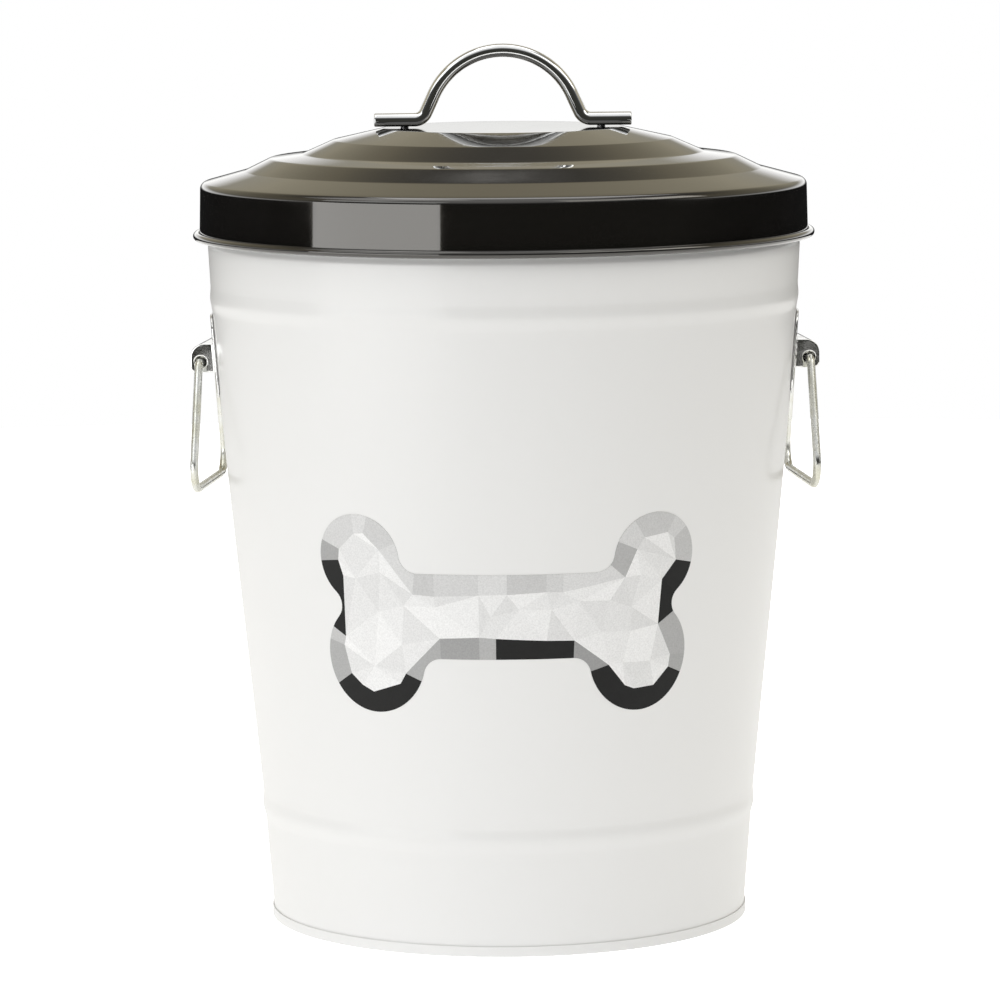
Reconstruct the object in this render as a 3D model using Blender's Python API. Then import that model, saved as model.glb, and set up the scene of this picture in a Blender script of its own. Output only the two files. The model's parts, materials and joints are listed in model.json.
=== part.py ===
"""Pet food bin: a tapered sheet-metal bucket with a wired rim, two pressed beads and a folded
bottom seam, a stepped lift-off lid with an arched bar handle, and a wire ring at each side.

Metres, +Z up. The origin is the centre of the ring the bin stands on, and its front faces -Y.
"""

from math import atan, atan2, cos, hypot, pi, radians, sin, sqrt, tan

import bmesh
import bpy
from mathutils import Matrix, Vector

# Sheet, clearances and facets
SHEET = 0.0006  # every pressed sheet but the ears
GAP = 0.0003  # between pieces that touch
COLUMNS = 48  # facets round the bin
CURL_ARC = radians(295)  # how far a sheet edge is rolled round its wire
CURL_STEPS = 6

# Bucket wall: heights of the lower features from the ground, of the upper ones below the rim
RIM_Z = 0.3603  # centre of the rim wire
RIM_WIRE_RADIUS = 0.001
LOWER_WALL_RADIUS = 0.1207  # wall behind the lower bead
UPPER_WALL_RADIUS = 0.1434  # wall behind the upper bead
WALL_BELLY = 0.0011  # how far the wall stands outside a straight cone
LOWER_BEAD_Z = 0.0559
UPPER_BEAD_DROP = 0.0541
BEAD_HALF_HEIGHT = 0.0068
LOWER_BEAD_PROUD = 0.0009
UPPER_BEAD_PROUD = 0.0006
NECK_DROP = 0.0293  # where the wall turns in for the rim
NECK_FLARE = 0.0013  # neck radius over the wall at the upper bead
RIM_INSET = 0.0011  # how far the wall turns in under the rim
RIM_INSET_HEIGHT = 0.004
LOCK_SEAM_WIDTH = 0.006  # folded joint down the back of the wall
LOCK_SEAM_PROUD = 0.0005
LOCK_SEAM_SLOPE = 0.0006

# Bottom
SEAM_RADIUS = 0.1176  # outside of the fold that holds the floor
SEAM_HEIGHT = 0.005
FLOOR_Z = 0.008  # underside of the floor
FLOOR_PANEL_RADIUS = 0.098
FLOOR_PANEL_RISE = 0.0015
FLOOR_PANEL_SLOPE = 0.003

# Lid: width and fall of each ring of its top, from the skirt inwards to the flat centre
LID_WIRE_RADIUS = 0.001
LID_CLEARANCE = 0.0007  # rim to skirt
LID_SKIRT_HEIGHT = 0.0255  # top corner to the middle of the edge wire
LID_SKIRT_FLARE = 0.0006
LID_SHOULDER_RADIUS = 0.0035
LID_RINGS = (
    (0.0217, 0.0059),
    (0.0124, 0.0060),
    (0.0159, 0.0020),
    (0.0151, 0.0066),
    (0.0246, 0.0055),
)
LID_CREASE_RADIUS = 0.006

# Lid handle
HANDLE_LENGTH = 0.1256
HANDLE_SPACING = 0.096  # screw to screw
HANDLE_THICKNESS = 0.0065
HANDLE_WIDTH = 0.0095
HANDLE_SQUARENESS = 2 / 3  # of its section: 1 is an ellipse, near 0 a rectangle
HANDLE_ARCH_RADIUS = 0.0372  # middle of the bar
HANDLE_LEG_LEAN = radians(24.5)  # straight legs lean out from vertical
HANDLE_HEIGHT = 0.04  # underside of the feet to the top of the bar
HANDLE_BEND_RADIUS = 0.006
HANDLE_STANDOFF = 0.0005  # feet above the lid
SCREW_RADIUS = 0.002
SCREW_HEAD_RADIUS = 0.004
SCREW_HEAD_HEIGHT = 0.0026
SCREW_HEAD_CHAMFER = 0.0009
SCREW_GRIP = 0.0042  # length inside the handle
WASHER_RADIUS = 0.005
WASHER_THICKNESS = 0.0008

# Ears and rings
EAR_ANGLE = radians(6.5)  # behind the bin's left-right line
EAR_SHEET = 0.001
EAR_WIDTH = 0.066
EAR_ABOVE_PIVOT = 0.0235
EAR_BELOW_PIVOT = 0.017
EAR_CORNER_RADIUS = 0.007
PIVOT_DROP = 0.0858  # ring pivot below the rim wire
PIVOT_STANDOFF = 0.0064  # ring pivot outside the wall
LOOP_LENGTH = 0.044  # pressed housing over the ring's ends
LOOP_ABOVE_PIVOT = 0.009
LOOP_BELOW_PIVOT = 0.005
LOOP_OUTSIDE_PIVOT = 0.0051
LOOP_TOP_RADIUS = 0.0065
LOOP_BOTTOM_RADIUS = 0.0025
RING_WIRE_RADIUS = 0.002
RING_HOLE_CLEARANCE = 0.001
RING_SIDE_CLEARANCE = 0.0025  # legs to the loop's ends
RING_BOTTOM_WIDTH = 0.098  # middle to middle of the wire
RING_DROP = 0.061
RING_TOP_RADIUS = 0.0035
RING_CORNER_RADIUS = 0.011
RING_END_INSIDE = 0.005  # bent end past the loop's outer face
RIVET_HEIGHTS = {"upper": 0.015, "lower": -0.0105}  # above the pivot
RIVET_SHANK_RADIUS = 0.002
RIVET_HEAD_RADIUS = 0.0034
RIVET_HEAD_HEIGHT = 0.0018
RIVET_TAIL_RADIUS = 0.0032
RIVET_TAIL_HEIGHT = 0.0012

# Sizes that follow from those above
UPPER_BEAD_Z = RIM_Z - UPPER_BEAD_DROP
NECK_Z = RIM_Z - NECK_DROP
PIVOT_Z = RIM_Z - PIVOT_DROP
NECK_RADIUS = UPPER_WALL_RADIUS + NECK_FLARE
RIM_WALL_RADIUS = NECK_RADIUS - RIM_INSET
FOOT_RADIUS = SEAM_RADIUS - SHEET - GAP
WALL_BOTTOM = SHEET + GAP
RIM_CURL = RIM_WIRE_RADIUS + GAP
RIM_RADIUS = RIM_WALL_RADIUS + RIM_CURL
LID_CURL = LID_WIRE_RADIUS + GAP
SKIRT_RADIUS = RIM_RADIUS + RIM_CURL + SHEET + LID_CLEARANCE + SHEET
RING_TOP_WIDTH = LOOP_LENGTH + 2 * (RING_SIDE_CLEARANCE + RING_WIRE_RADIUS)
LID_TOP = sum(fall for _, fall in LID_RINGS)  # flat centre above the corner of the lid


def mix(a, b, t):
    return a + (b - a) * t


def bead(z, middle, proud):
    """How far a pressed bead stands out of the wall at height z."""
    reach = abs(z - middle) / BEAD_HALF_HEIGHT
    return proud * cos(reach * pi / 2) ** 2 if reach < 1 else 0.0


def wall_radius(z):
    """Outside radius of the bucket wall at height z."""
    if z < LOWER_BEAD_Z:
        radius = mix(FOOT_RADIUS, LOWER_WALL_RADIUS, (z - SEAM_HEIGHT) / (LOWER_BEAD_Z - SEAM_HEIGHT))
    elif z < UPPER_BEAD_Z:
        t = (z - LOWER_BEAD_Z) / (UPPER_BEAD_Z - LOWER_BEAD_Z)
        belly = 27 / 4 * t * t * (1 - t)  # 1 at its fullest, two thirds of the way up
        radius = mix(LOWER_WALL_RADIUS, UPPER_WALL_RADIUS, t) + WALL_BELLY * belly
    elif z < NECK_Z:
        radius = mix(UPPER_WALL_RADIUS, NECK_RADIUS, (z - UPPER_BEAD_Z) / (NECK_Z - UPPER_BEAD_Z))
    else:
        radius = mix(NECK_RADIUS, RIM_WALL_RADIUS, min(1, (z - NECK_Z) / RIM_INSET_HEIGHT))
    lower = bead(z, LOWER_BEAD_Z, LOWER_BEAD_PROUD)
    return radius + lower + bead(z, UPPER_BEAD_Z, UPPER_BEAD_PROUD)


def arc(middle, radius, start, turn, steps):
    """Points of an arc in a plane, from angle start through angle turn."""
    angles = [start + turn * i / steps for i in range(steps + 1)]
    return [Vector((middle[0] + radius * cos(a), middle[1] + radius * sin(a))) for a in angles]


def rounded(points, radius, steps):
    """The open line through points with its corners turned into arcs."""
    corners = [Vector(p) for p in points]
    line = corners[:1]
    for before, corner, after in zip(corners, corners[1:], corners[2:]):
        back = (before - corner).normalized()
        ahead = (after - corner).normalized()
        half = back.angle(ahead) / 2
        middle = corner + (back + ahead).normalized() * (radius / sin(half))
        tangent = radius / sin(half) * cos(half)
        start = (corner + back * tangent - middle).normalized()
        end = (corner + ahead * tangent - middle).normalized()
        line += [middle + start.slerp(end, i / steps) * radius for i in range(steps + 1)]
    return line + corners[-1:]


def sheet_outline(line, thickness):
    """Closed outline of a sheet whose one face follows line, with its metal on the right."""
    sides = [(b - a).normalized() for a, b in zip(line, line[1:])]
    sides = [Vector((side.y, -side.x)) for side in sides]
    far_side = []
    for point, before, after in zip(line, sides[:1] + sides, sides + sides[-1:]):
        middle = (before + after).normalized()
        far_side.append(point + middle * (thickness / middle.dot(after)))
    return line + far_side[::-1]


def finish(name, colour, roughness, metallic):
    """A material with the finish of one piece."""
    made = bpy.data.materials.new(name)
    made.use_nodes = True
    shader = made.node_tree.nodes["Principled BSDF"]
    shader.inputs["Base Color"].default_value = (*colour, 1)
    shader.inputs["Roughness"].default_value = roughness
    shader.inputs["Metallic"].default_value = metallic
    return made


FINISHES = {
    "white": ((0.83, 0.82, 0.8), 0.35, 0.0),
    "black": ((0.012, 0.012, 0.012), 0.12, 0.0),
    "chrome": ((0.75, 0.76, 0.76), 0.08, 1.0),
    "plated": ((0.72, 0.72, 0.7), 0.12, 1.0),
    "zinc": ((0.6, 0.61, 0.57), 0.25, 1.0),
    "steel": ((0.56, 0.57, 0.58), 0.35, 1.0),
}


def add_piece(name, shape, look, parent=None, place=Matrix.Identity(4)):
    """An object made of a bmesh, with its faces turned out and its round faces smooth."""
    bmesh.ops.recalc_face_normals(shape, faces=shape.faces)
    mesh = bpy.data.meshes.new(name)
    shape.to_mesh(mesh)
    shape.free()
    mesh.shade_smooth()
    mesh.set_sharp_from_angle(angle=radians(35))
    mesh.materials.append(finish(name, *FINISHES[look]))
    made = bpy.data.objects.new(name, mesh)
    made.parent = parent
    made.matrix_basis = place
    bpy.context.scene.collection.objects.link(made)
    return made


def add_helper(name, shape, parent=None, place=Matrix.Identity(4)):
    """A solid that only cuts or trims others."""
    made = add_piece(name, shape, "steel", parent, place)
    made.hide_render = True
    made.display_type = "WIRE"
    return made


def add_origin(name, place):
    """An empty on a body's joint axis, which its pieces hang from."""
    made = bpy.data.objects.new(name, None)
    made.matrix_basis = place
    bpy.context.scene.collection.objects.link(made)
    return made


def combine(piece, other, operation):
    modifier = piece.modifiers.new(f"{operation.lower()} {other.name}", "BOOLEAN")
    modifier.operation = operation
    modifier.object = other


def turned(outline, columns=COLUMNS, extra=()):
    """A closed outline of radius and height turned about Z. One that starts on the axis gets flat ends.

    extra adds columns, each at an angle plus a distance round the surface."""
    shape = bmesh.new()
    regular = [(2 * pi * i / columns, 0.0) for i in range(columns)]
    places = sorted(regular + list(extra))
    rings = []
    for radius, height in [point for point in outline if point[0] > 0]:
        angles = [angle + along / radius for angle, along in places]
        rings.append([shape.verts.new((radius * cos(a), radius * sin(a), height)) for a in angles])
    solid = outline[0][0] == 0
    for low, high in zip(rings, rings[1:] if solid else rings[1:] + rings[:1]):
        for i, corner in enumerate(low):
            shape.faces.new((corner, low[i - 1], high[i - 1], high[i]))
    if solid:
        shape.faces.new(rings[0])
        shape.faces.new(rings[-1])
    return shape


def round_bar(radius, low, high, columns=12):
    """A plain round bar along Z, from low to high."""
    return turned([(0, low), (radius, low), (radius, high), (0, high)], columns)


def swept(line, section, across):
    """A section of (out, across) points swept along a flat line of 3D points, square to across."""
    shape = bmesh.new()
    runs = [(b - a).normalized() for a, b in zip(line, line[1:])]
    rings = []
    for point, before, after in zip(line, runs[:1] + runs, runs + runs[-1:]):
        out = across.cross((before + after).normalized())
        stretch = 1 / out.dot(across.cross(after))
        places = [point + out * (u * stretch) + across * v for u, v in section]
        rings.append([shape.verts.new(place) for place in places])
    for ring, following in zip(rings, rings[1:]):
        for i, corner in enumerate(ring):
            shape.faces.new((corner, ring[i - 1], following[i - 1], following[i]))
    shape.faces.new(rings[0])
    shape.faces.new(rings[-1])
    return shape


def extruded(outline, half_length, placed):
    """A closed outline of 2D points carried both ways. placed turns a point and depth into 3D."""
    shape = bmesh.new()
    near = [shape.verts.new(placed(point, -half_length)) for point in outline]
    far = [shape.verts.new(placed(point, half_length)) for point in outline]
    for i, corner in enumerate(near):
        shape.faces.new((corner, near[i - 1], far[i - 1], far[i]))
    shape.faces.new(near)
    shape.faces.new(far)
    return shape


def circle(middle, radius, steps):
    return arc(middle, radius, 0, 2 * pi, steps)[:-1]


def bead_heights(middle):
    return [middle + BEAD_HALF_HEIGHT * i / 2 for i in range(-2, 3)]


def wall_line():
    """Outer face of the wall from its bottom edge up to the rim, then in round the rim wire."""
    barrel = [mix(LOWER_BEAD_Z, UPPER_BEAD_Z, i / 4) for i in range(1, 4)]
    heights = [WALL_BOTTOM, SEAM_HEIGHT, *bead_heights(LOWER_BEAD_Z), *barrel]
    heights += [*bead_heights(UPPER_BEAD_Z), NECK_Z, NECK_Z + RIM_INSET_HEIGHT]
    line = [Vector((wall_radius(z), z)) for z in heights]
    return line + arc((RIM_RADIUS, RIM_Z), RIM_CURL, pi, -CURL_ARC, CURL_STEPS)


def raise_lock_seam(shape):
    """Lifts the outer face along the folded joint at the back."""
    for vert in shape.verts:
        radius = hypot(vert.co.x, vert.co.y)
        along = (atan2(vert.co.y, vert.co.x) - pi / 2) * radius
        outer = radius > wall_radius(vert.co.z) - SHEET / 2
        between = SEAM_HEIGHT < vert.co.z < NECK_Z
        if outer and between and abs(along) < (LOCK_SEAM_WIDTH + LOCK_SEAM_SLOPE) / 2:
            vert.co.xy *= 1 + LOCK_SEAM_PROUD / radius


def make_wall(bucket):
    edge = LOCK_SEAM_WIDTH / 2
    columns = [(pi / 2, along) for along in (-edge - LOCK_SEAM_SLOPE, -edge, edge, edge + LOCK_SEAM_SLOPE)]
    outline = sheet_outline(wall_line()[::-1], SHEET)
    shape = turned(outline, extra=columns)
    raise_lock_seam(shape)
    return add_piece("bucket_wall", shape, "white", bucket)


def make_floor(bucket):
    """The floor, with its edge turned down inside the wall and folded up round its outside."""
    flange = wall_radius(WALL_BOTTOM) - SHEET - GAP
    fold = SEAM_RADIUS - SHEET
    top = FLOOR_Z + SHEET
    line = [(0, top + FLOOR_PANEL_RISE), (FLOOR_PANEL_RADIUS - FLOOR_PANEL_SLOPE, top + FLOOR_PANEL_RISE)]
    line += [(FLOOR_PANEL_RADIUS, top), (flange, top), (flange, SHEET), (fold, SHEET), (fold, SEAM_HEIGHT)]
    outline = sheet_outline([Vector(point) for point in line], SHEET)
    add_piece("floor_pan", turned(outline), "white", bucket)


def make_edge_wire(name, radius, height, wire_radius, look, parent):
    add_piece(name, turned(circle((radius, height), wire_radius, 6)), look, parent)


def lid_line():
    """Upper face of the lid from its middle to its skirt, then out round the edge wire.

    Heights are above the corner where the skirt and the top's outer slope would meet."""
    radius, height = SKIRT_RADIUS, 0.0
    top = [(radius, height)]
    for width, fall in LID_RINGS:
        radius, height = radius - width, height + fall
        top.append((radius, height))
    creases = rounded([(0, height), *top[:0:-1], top[0]], LID_CREASE_RADIUS, 1)[:-1]
    foot = (SKIRT_RADIUS + LID_SKIRT_FLARE, -LID_SKIRT_HEIGHT)
    shoulder = rounded([creases[-1], top[0], foot], LID_SHOULDER_RADIUS, 3)[1:-1]
    curl = arc((foot[0] + LID_CURL, foot[1]), LID_CURL, pi, CURL_ARC, CURL_STEPS)
    return creases + shoulder + curl


def lid_height():
    """The corner of the lid when the rim carries its outer slope."""
    width, fall = LID_RINGS[0]
    slope = fall / width
    over_wire = RIM_CURL + SHEET + GAP + SHEET
    return RIM_Z + over_wire * sqrt(1 + slope * slope) - (SKIRT_RADIUS - RIM_RADIUS) * slope


def make_lid(lid):
    """The pressed lid, with a hole for each handle screw."""
    shell = add_piece("lid_shell", turned(sheet_outline(lid_line(), SHEET)), "black", lid)
    for side, along in (("left", -HANDLE_SPACING / 2), ("right", HANDLE_SPACING / 2)):
        reach = SHEET + GAP
        place = Matrix.Translation((along, 0, LID_TOP))
        hole = round_bar(SCREW_RADIUS + GAP, -reach, reach)
        combine(shell, add_helper(f"lid_hole_cutter_{side}", hole, lid, place), "DIFFERENCE")
    foot_radius = SKIRT_RADIUS + LID_SKIRT_FLARE + LID_CURL
    make_edge_wire("lid_edge_wire", foot_radius, -LID_SKIRT_HEIGHT, LID_WIRE_RADIUS, "steel", lid)


def handle_line():
    """Middle of the handle bar from the left end to the right: foot, bend, leg, arch and back down."""
    foot, lean = HANDLE_THICKNESS / 2, HANDLE_LEG_LEAN
    arch_z = HANDLE_HEIGHT - foot - HANDLE_ARCH_RADIUS
    reach = HANDLE_ARCH_RADIUS + HANDLE_BEND_RADIUS
    bend_z = foot + HANDLE_BEND_RADIUS
    leg_drop = arch_z + reach * sin(lean) - bend_z
    bend_x = reach * cos(lean) + leg_drop * tan(lean)
    bend = arc((bend_x, bend_z), HANDLE_BEND_RADIUS, pi + lean, pi / 2 - lean, 4)
    arch = arc((0, arch_z), HANDLE_ARCH_RADIUS, lean, pi / 2 - lean, 8)[::-1]
    right = arch + bend + [Vector((HANDLE_LENGTH / 2, foot))]
    left = [Vector((-x, z)) for x, z in right[:0:-1]]
    return [Vector((x, 0, z)) for x, z in left + right]


def bar_section(steps=12):
    """Section of the handle bar: a flattened round with softly squared sides."""
    power = 2 / HANDLE_SQUARENESS
    points = []
    for i in range(steps):
        angle = 2 * pi * (i + 0.5) / steps
        out, across = cos(angle), sin(angle)
        scale = (abs(out) ** power + abs(across) ** power) ** (-1 / power)
        points.append((out * scale * HANDLE_THICKNESS / 2, across * scale * HANDLE_WIDTH / 2))
    return points


def make_handle(lid):
    """The arched bar, its two screws up through the lid, and their washers."""
    seat = Matrix.Translation((0, 0, LID_TOP + HANDLE_STANDOFF))
    bar = add_piece("lid_handle", swept(handle_line(), bar_section(), Vector((0, 1, 0))), "chrome", lid, seat)
    washer_top = -SHEET - GAP
    head_top = washer_top - WASHER_THICKNESS - GAP
    bore = SCREW_RADIUS + GAP
    for side, along in (("left", -HANDLE_SPACING / 2), ("right", HANDLE_SPACING / 2)):
        place = Matrix.Translation((along, 0, LID_TOP))
        blind = round_bar(bore, -SHEET, HANDLE_STANDOFF + SCREW_GRIP + GAP)
        combine(bar, add_helper(f"handle_bore_cutter_{side}", blind, lid, place), "DIFFERENCE")
        tip = HANDLE_STANDOFF + SCREW_GRIP
        head = head_top - SCREW_HEAD_HEIGHT
        line = [(0, tip), (SCREW_RADIUS, tip), (SCREW_RADIUS, head_top), (SCREW_HEAD_RADIUS, head_top)]
        rounding = SCREW_HEAD_RADIUS - SCREW_HEAD_CHAMFER
        line += [(SCREW_HEAD_RADIUS, head + SCREW_HEAD_CHAMFER), (rounding, head), (0, head)]
        add_piece(f"handle_screw_{side}", turned(line, 12), "steel", lid, place)
        ring = [(bore, washer_top), (WASHER_RADIUS, washer_top)]
        ring += [(radius, washer_top - WASHER_THICKNESS) for radius in (WASHER_RADIUS, bore)]
        add_piece(f"handle_washer_{side}", turned(ring, 16), "steel", lid, place)


def loop_outline(inset):
    """Side view of the ear's pressed loop as distance from the pivot and height, inset by the sheet."""
    back = -PIVOT_STANDOFF - LOOP_LENGTH / 2  # well inside the wall, where the back cutter trims it
    out, top, bottom = LOOP_OUTSIDE_PIVOT - inset, LOOP_ABOVE_PIVOT - inset, inset - LOOP_BELOW_PIVOT
    upper = rounded([(back, top), (out, top), (out, 0)], LOOP_TOP_RADIUS - inset, 4)[:-1]
    lower = rounded([(out, 0), (out, bottom), (back, bottom)], LOOP_BOTTOM_RADIUS - inset, 2)[1:]
    return upper + lower


def ear_outline():
    """The ear plate's outline as distance along the tangent and height above the pivot."""
    side, top, bottom = EAR_WIDTH / 2, EAR_ABOVE_PIVOT, -EAR_BELOW_PIVOT
    corners = [(side, 0), (side, top), (-side, top), (-side, bottom), (side, bottom), (side, 0)]
    return rounded(corners, EAR_CORNER_RADIUS, 4)[1:-1]


def wall_cover(proud):
    """A solid that fills the bucket behind the ears and stands proud of its wall."""
    low, high = PIVOT_Z - 2 * EAR_BELOW_PIVOT, PIVOT_Z + EAR_ABOVE_PIVOT
    taper = (wall_radius(high) - wall_radius(PIVOT_Z)) / EAR_ABOVE_PIVOT
    line = [(wall_radius(z) + proud, z) for z in (low, PIVOT_Z, high)]
    # Above the ear it carries on straight, clear of the wall's bead
    line.append((line[-1][0] + taper * EAR_CORNER_RADIUS, high + EAR_CORNER_RADIUS))
    return turned([(0, low), *line, (0, line[-1][1])])


def make_ear(side, pivot, behind, front):
    """The riveted ear: a plate on the wall, with a hollow loop pressed out of it for the ring's ends."""
    lengthwise = {
        "plate": lambda point, depth: (depth, point.x, point.y),
        "loop": lambda point, depth: (point.x, depth, point.y),
    }
    plate = extruded(ear_outline(), EAR_WIDTH / 2, lengthwise["plate"])  # deeper than the wall curves
    ear = add_piece(f"{side}_ear", plate, "plated", pivot)
    combine(ear, front, "INTERSECT")
    loop = extruded(loop_outline(0), LOOP_LENGTH / 2, lengthwise["loop"])
    combine(ear, add_helper(f"{side}_loop_helper", loop, pivot), "UNION")
    combine(ear, behind, "DIFFERENCE")
    hollow = extruded(loop_outline(EAR_SHEET), LOOP_LENGTH / 2 - EAR_SHEET, lengthwise["loop"])
    combine(ear, add_helper(f"{side}_loop_hollow_cutter", hollow, pivot), "DIFFERENCE")
    lengthways = Matrix.Rotation(pi / 2, 4, "X")
    bore = round_bar(RING_WIRE_RADIUS + RING_HOLE_CLEARANCE, -LOOP_LENGTH, LOOP_LENGTH)
    combine(ear, add_helper(f"{side}_loop_bore_cutter", bore, pivot, lengthways), "DIFFERENCE")
    return ear


def make_rivets(side, pivot_radius, pivot, ear, wall):
    """Two snap-head rivets through the ear and the wall, each square to the wall."""
    for level, rise in RIVET_HEIGHTS.items():
        radius = wall_radius(PIVOT_Z + rise)
        slope = (wall_radius(PIVOT_Z + rise + GAP) - radius) / GAP
        square = Matrix.Rotation(pi / 2 + atan(slope), 4, "Y")
        place = Matrix.Translation((radius - pivot_radius, 0, rise)) @ square
        facet_depth = radius * (1 - cos(pi / COLUMNS))
        inside = -SHEET - GAP - facet_depth
        seat = GAP + EAR_SHEET + GAP
        tail = inside - RIVET_TAIL_HEIGHT
        line = [(0, tail), (RIVET_TAIL_RADIUS, tail), (RIVET_TAIL_RADIUS, inside)]
        line += [(RIVET_SHANK_RADIUS, inside), (RIVET_SHANK_RADIUS, seat)]
        dome = [(cos(angle), sin(angle)) for angle in (0, pi / 5, 2 * pi / 5)]
        line += [(RIVET_HEAD_RADIUS * out, seat + RIVET_HEAD_HEIGHT * up) for out, up in dome]
        add_piece(f"{side}_ear_rivet_{level}", turned(line, 12), "plated", pivot, place)
        hole = round_bar(RIVET_SHANK_RADIUS + GAP, tail, seat + RIVET_HEAD_HEIGHT)
        cutter = add_helper(f"{side}_rivet_cutter_{level}", hole, pivot, place)
        combine(ear, cutter, "DIFFERENCE")
        combine(wall, cutter, "DIFFERENCE")


def make_ring(side, pivot):
    """The wire ring hanging from its ear, its two ends bent in through the loop's ends."""
    end = LOOP_LENGTH / 2 - RING_END_INSIDE
    top, bottom = RING_TOP_WIDTH / 2, RING_BOTTOM_WIDTH / 2
    leg = rounded([(end, 0), (top, 0), (bottom, -RING_DROP)], RING_TOP_RADIUS, 3)[:-1]
    half = leg + rounded([leg[-1], (bottom, -RING_DROP), (0, -RING_DROP)], RING_CORNER_RADIUS, 4)[1:-1]
    mirrored = [Vector((-y, z)) for y, z in half[::-1]]
    line = [Vector((0, y, z)) for y, z in half + mirrored]
    section = circle((0, 0), RING_WIRE_RADIUS, 8)
    add_piece(f"{side}_ring", swept(line, section, Vector((1, 0, 0))), "zinc", pivot)


def make_sides(bucket, wall):
    """An ear, its rivets and its ring on each side, on an empty on the ring's pivot."""
    pivot_radius = wall_radius(PIVOT_Z) + PIVOT_STANDOFF
    behind = add_helper("ear_back_cutter", wall_cover(GAP), bucket)
    front = add_helper("ear_front_helper", wall_cover(GAP + EAR_SHEET), bucket)
    for side, angle in (("right", EAR_ANGLE), ("left", pi - EAR_ANGLE)):
        place = Matrix.Rotation(angle, 4, "Z") @ Matrix.Translation((pivot_radius, 0, PIVOT_Z))
        pivot = add_origin(f"{side}_pivot", place)
        ear = make_ear(side, pivot, behind, front)
        make_rivets(side, pivot_radius, pivot, ear, wall)
        make_ring(side, pivot)


def main():
    for thing in list(bpy.data.objects):
        bpy.data.objects.remove(thing)
    bucket = add_origin("bucket", Matrix.Identity(4))
    wall = make_wall(bucket)
    make_floor(bucket)
    make_edge_wire("rim_wire", RIM_RADIUS, RIM_Z, RIM_WIRE_RADIUS, "steel", bucket)
    make_sides(bucket, wall)
    lid = add_origin("lid", Matrix.Translation((0, 0, lid_height())))
    make_lid(lid)
    make_handle(lid)


main()
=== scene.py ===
import json
from math import atan, atan2, cos, pi, radians, sin, sqrt, tan

import bmesh
import bpy
import numpy as np
from bpy.props import FloatProperty, FloatVectorProperty, IntProperty, PointerProperty
from mathutils import Matrix, Vector
from mathutils.geometry import delaunay_2d_cdt


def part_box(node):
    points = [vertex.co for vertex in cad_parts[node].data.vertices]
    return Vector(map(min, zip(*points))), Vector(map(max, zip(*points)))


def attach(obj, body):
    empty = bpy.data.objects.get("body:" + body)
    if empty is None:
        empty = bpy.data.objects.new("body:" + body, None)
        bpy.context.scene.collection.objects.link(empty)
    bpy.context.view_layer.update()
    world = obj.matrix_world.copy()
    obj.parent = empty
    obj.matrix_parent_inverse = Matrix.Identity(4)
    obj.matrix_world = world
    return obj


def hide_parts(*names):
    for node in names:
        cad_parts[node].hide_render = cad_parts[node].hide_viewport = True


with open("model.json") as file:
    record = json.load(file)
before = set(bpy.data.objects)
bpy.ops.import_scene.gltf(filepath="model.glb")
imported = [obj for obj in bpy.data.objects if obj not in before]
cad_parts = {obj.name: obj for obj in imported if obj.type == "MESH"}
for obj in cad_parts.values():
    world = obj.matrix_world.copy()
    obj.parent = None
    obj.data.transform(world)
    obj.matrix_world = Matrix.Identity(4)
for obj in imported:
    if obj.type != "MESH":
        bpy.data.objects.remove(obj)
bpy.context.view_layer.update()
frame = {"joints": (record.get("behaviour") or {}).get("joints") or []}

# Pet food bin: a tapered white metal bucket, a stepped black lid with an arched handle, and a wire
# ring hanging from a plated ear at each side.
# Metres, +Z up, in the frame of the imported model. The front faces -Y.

bl_info = {
    "name": "Pet Food Bin",
    "version": (1, 0, 0),
    "blender": (4, 5, 0),
    "location": "View3D > Sidebar > Pet Bin",
    "description": "Builds a metal pet food bin with a lift-off lid, and a studio to look at it in",
    "category": "Object",
}


# Places that the frame gives
def middle_height(node):
    low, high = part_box(node)
    return (low.z + high.z) / 2


def outer_radius(node):
    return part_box(node)[1].x


RIM_HEIGHT = middle_height("rim_wire")
LID_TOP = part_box("lid_shell")[1].z
LID_EDGE_HEIGHT = middle_height("lid_edge_wire")
HANDLE_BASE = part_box("lid_handle")[0].z
RING_JOINT = next(joint for joint in frame["joints"] if joint["child"] == "ring_right")
PIVOT = Vector(RING_JOINT["pos_m"])


# ------------------------------------------------------------------ settings
def length(name, description, default, low=0.0, high=1.0):
    return FloatProperty(
        name=name, description=description, default=default, min=low, max=high, precision=4, unit="LENGTH"
    )


def tint(name, description, default):
    return FloatVectorProperty(
        name=name, description=description, default=default, min=0, max=1, size=3, subtype="COLOR"
    )


def slant(name, description, degrees):
    return FloatProperty(name=name, description=description, default=radians(degrees), subtype="ANGLE")


class BinSheetSettings(bpy.types.PropertyGroup):
    """What every pressed piece shares"""

    sheet: length("Sheet", "Thickness of the pressed sheet", 0.0006)
    gap: length("Gap", "Room between pieces that touch", 0.0003)
    wire_radius: length("Edge wire", "Radius of the wires inside the rim and the lid's edge", 0.001)
    curl: slant("Curl", "How far an edge is rolled round its wire", 295)
    columns: IntProperty(name="Columns", description="Facets round the bin", default=288, min=48, max=720)


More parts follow.
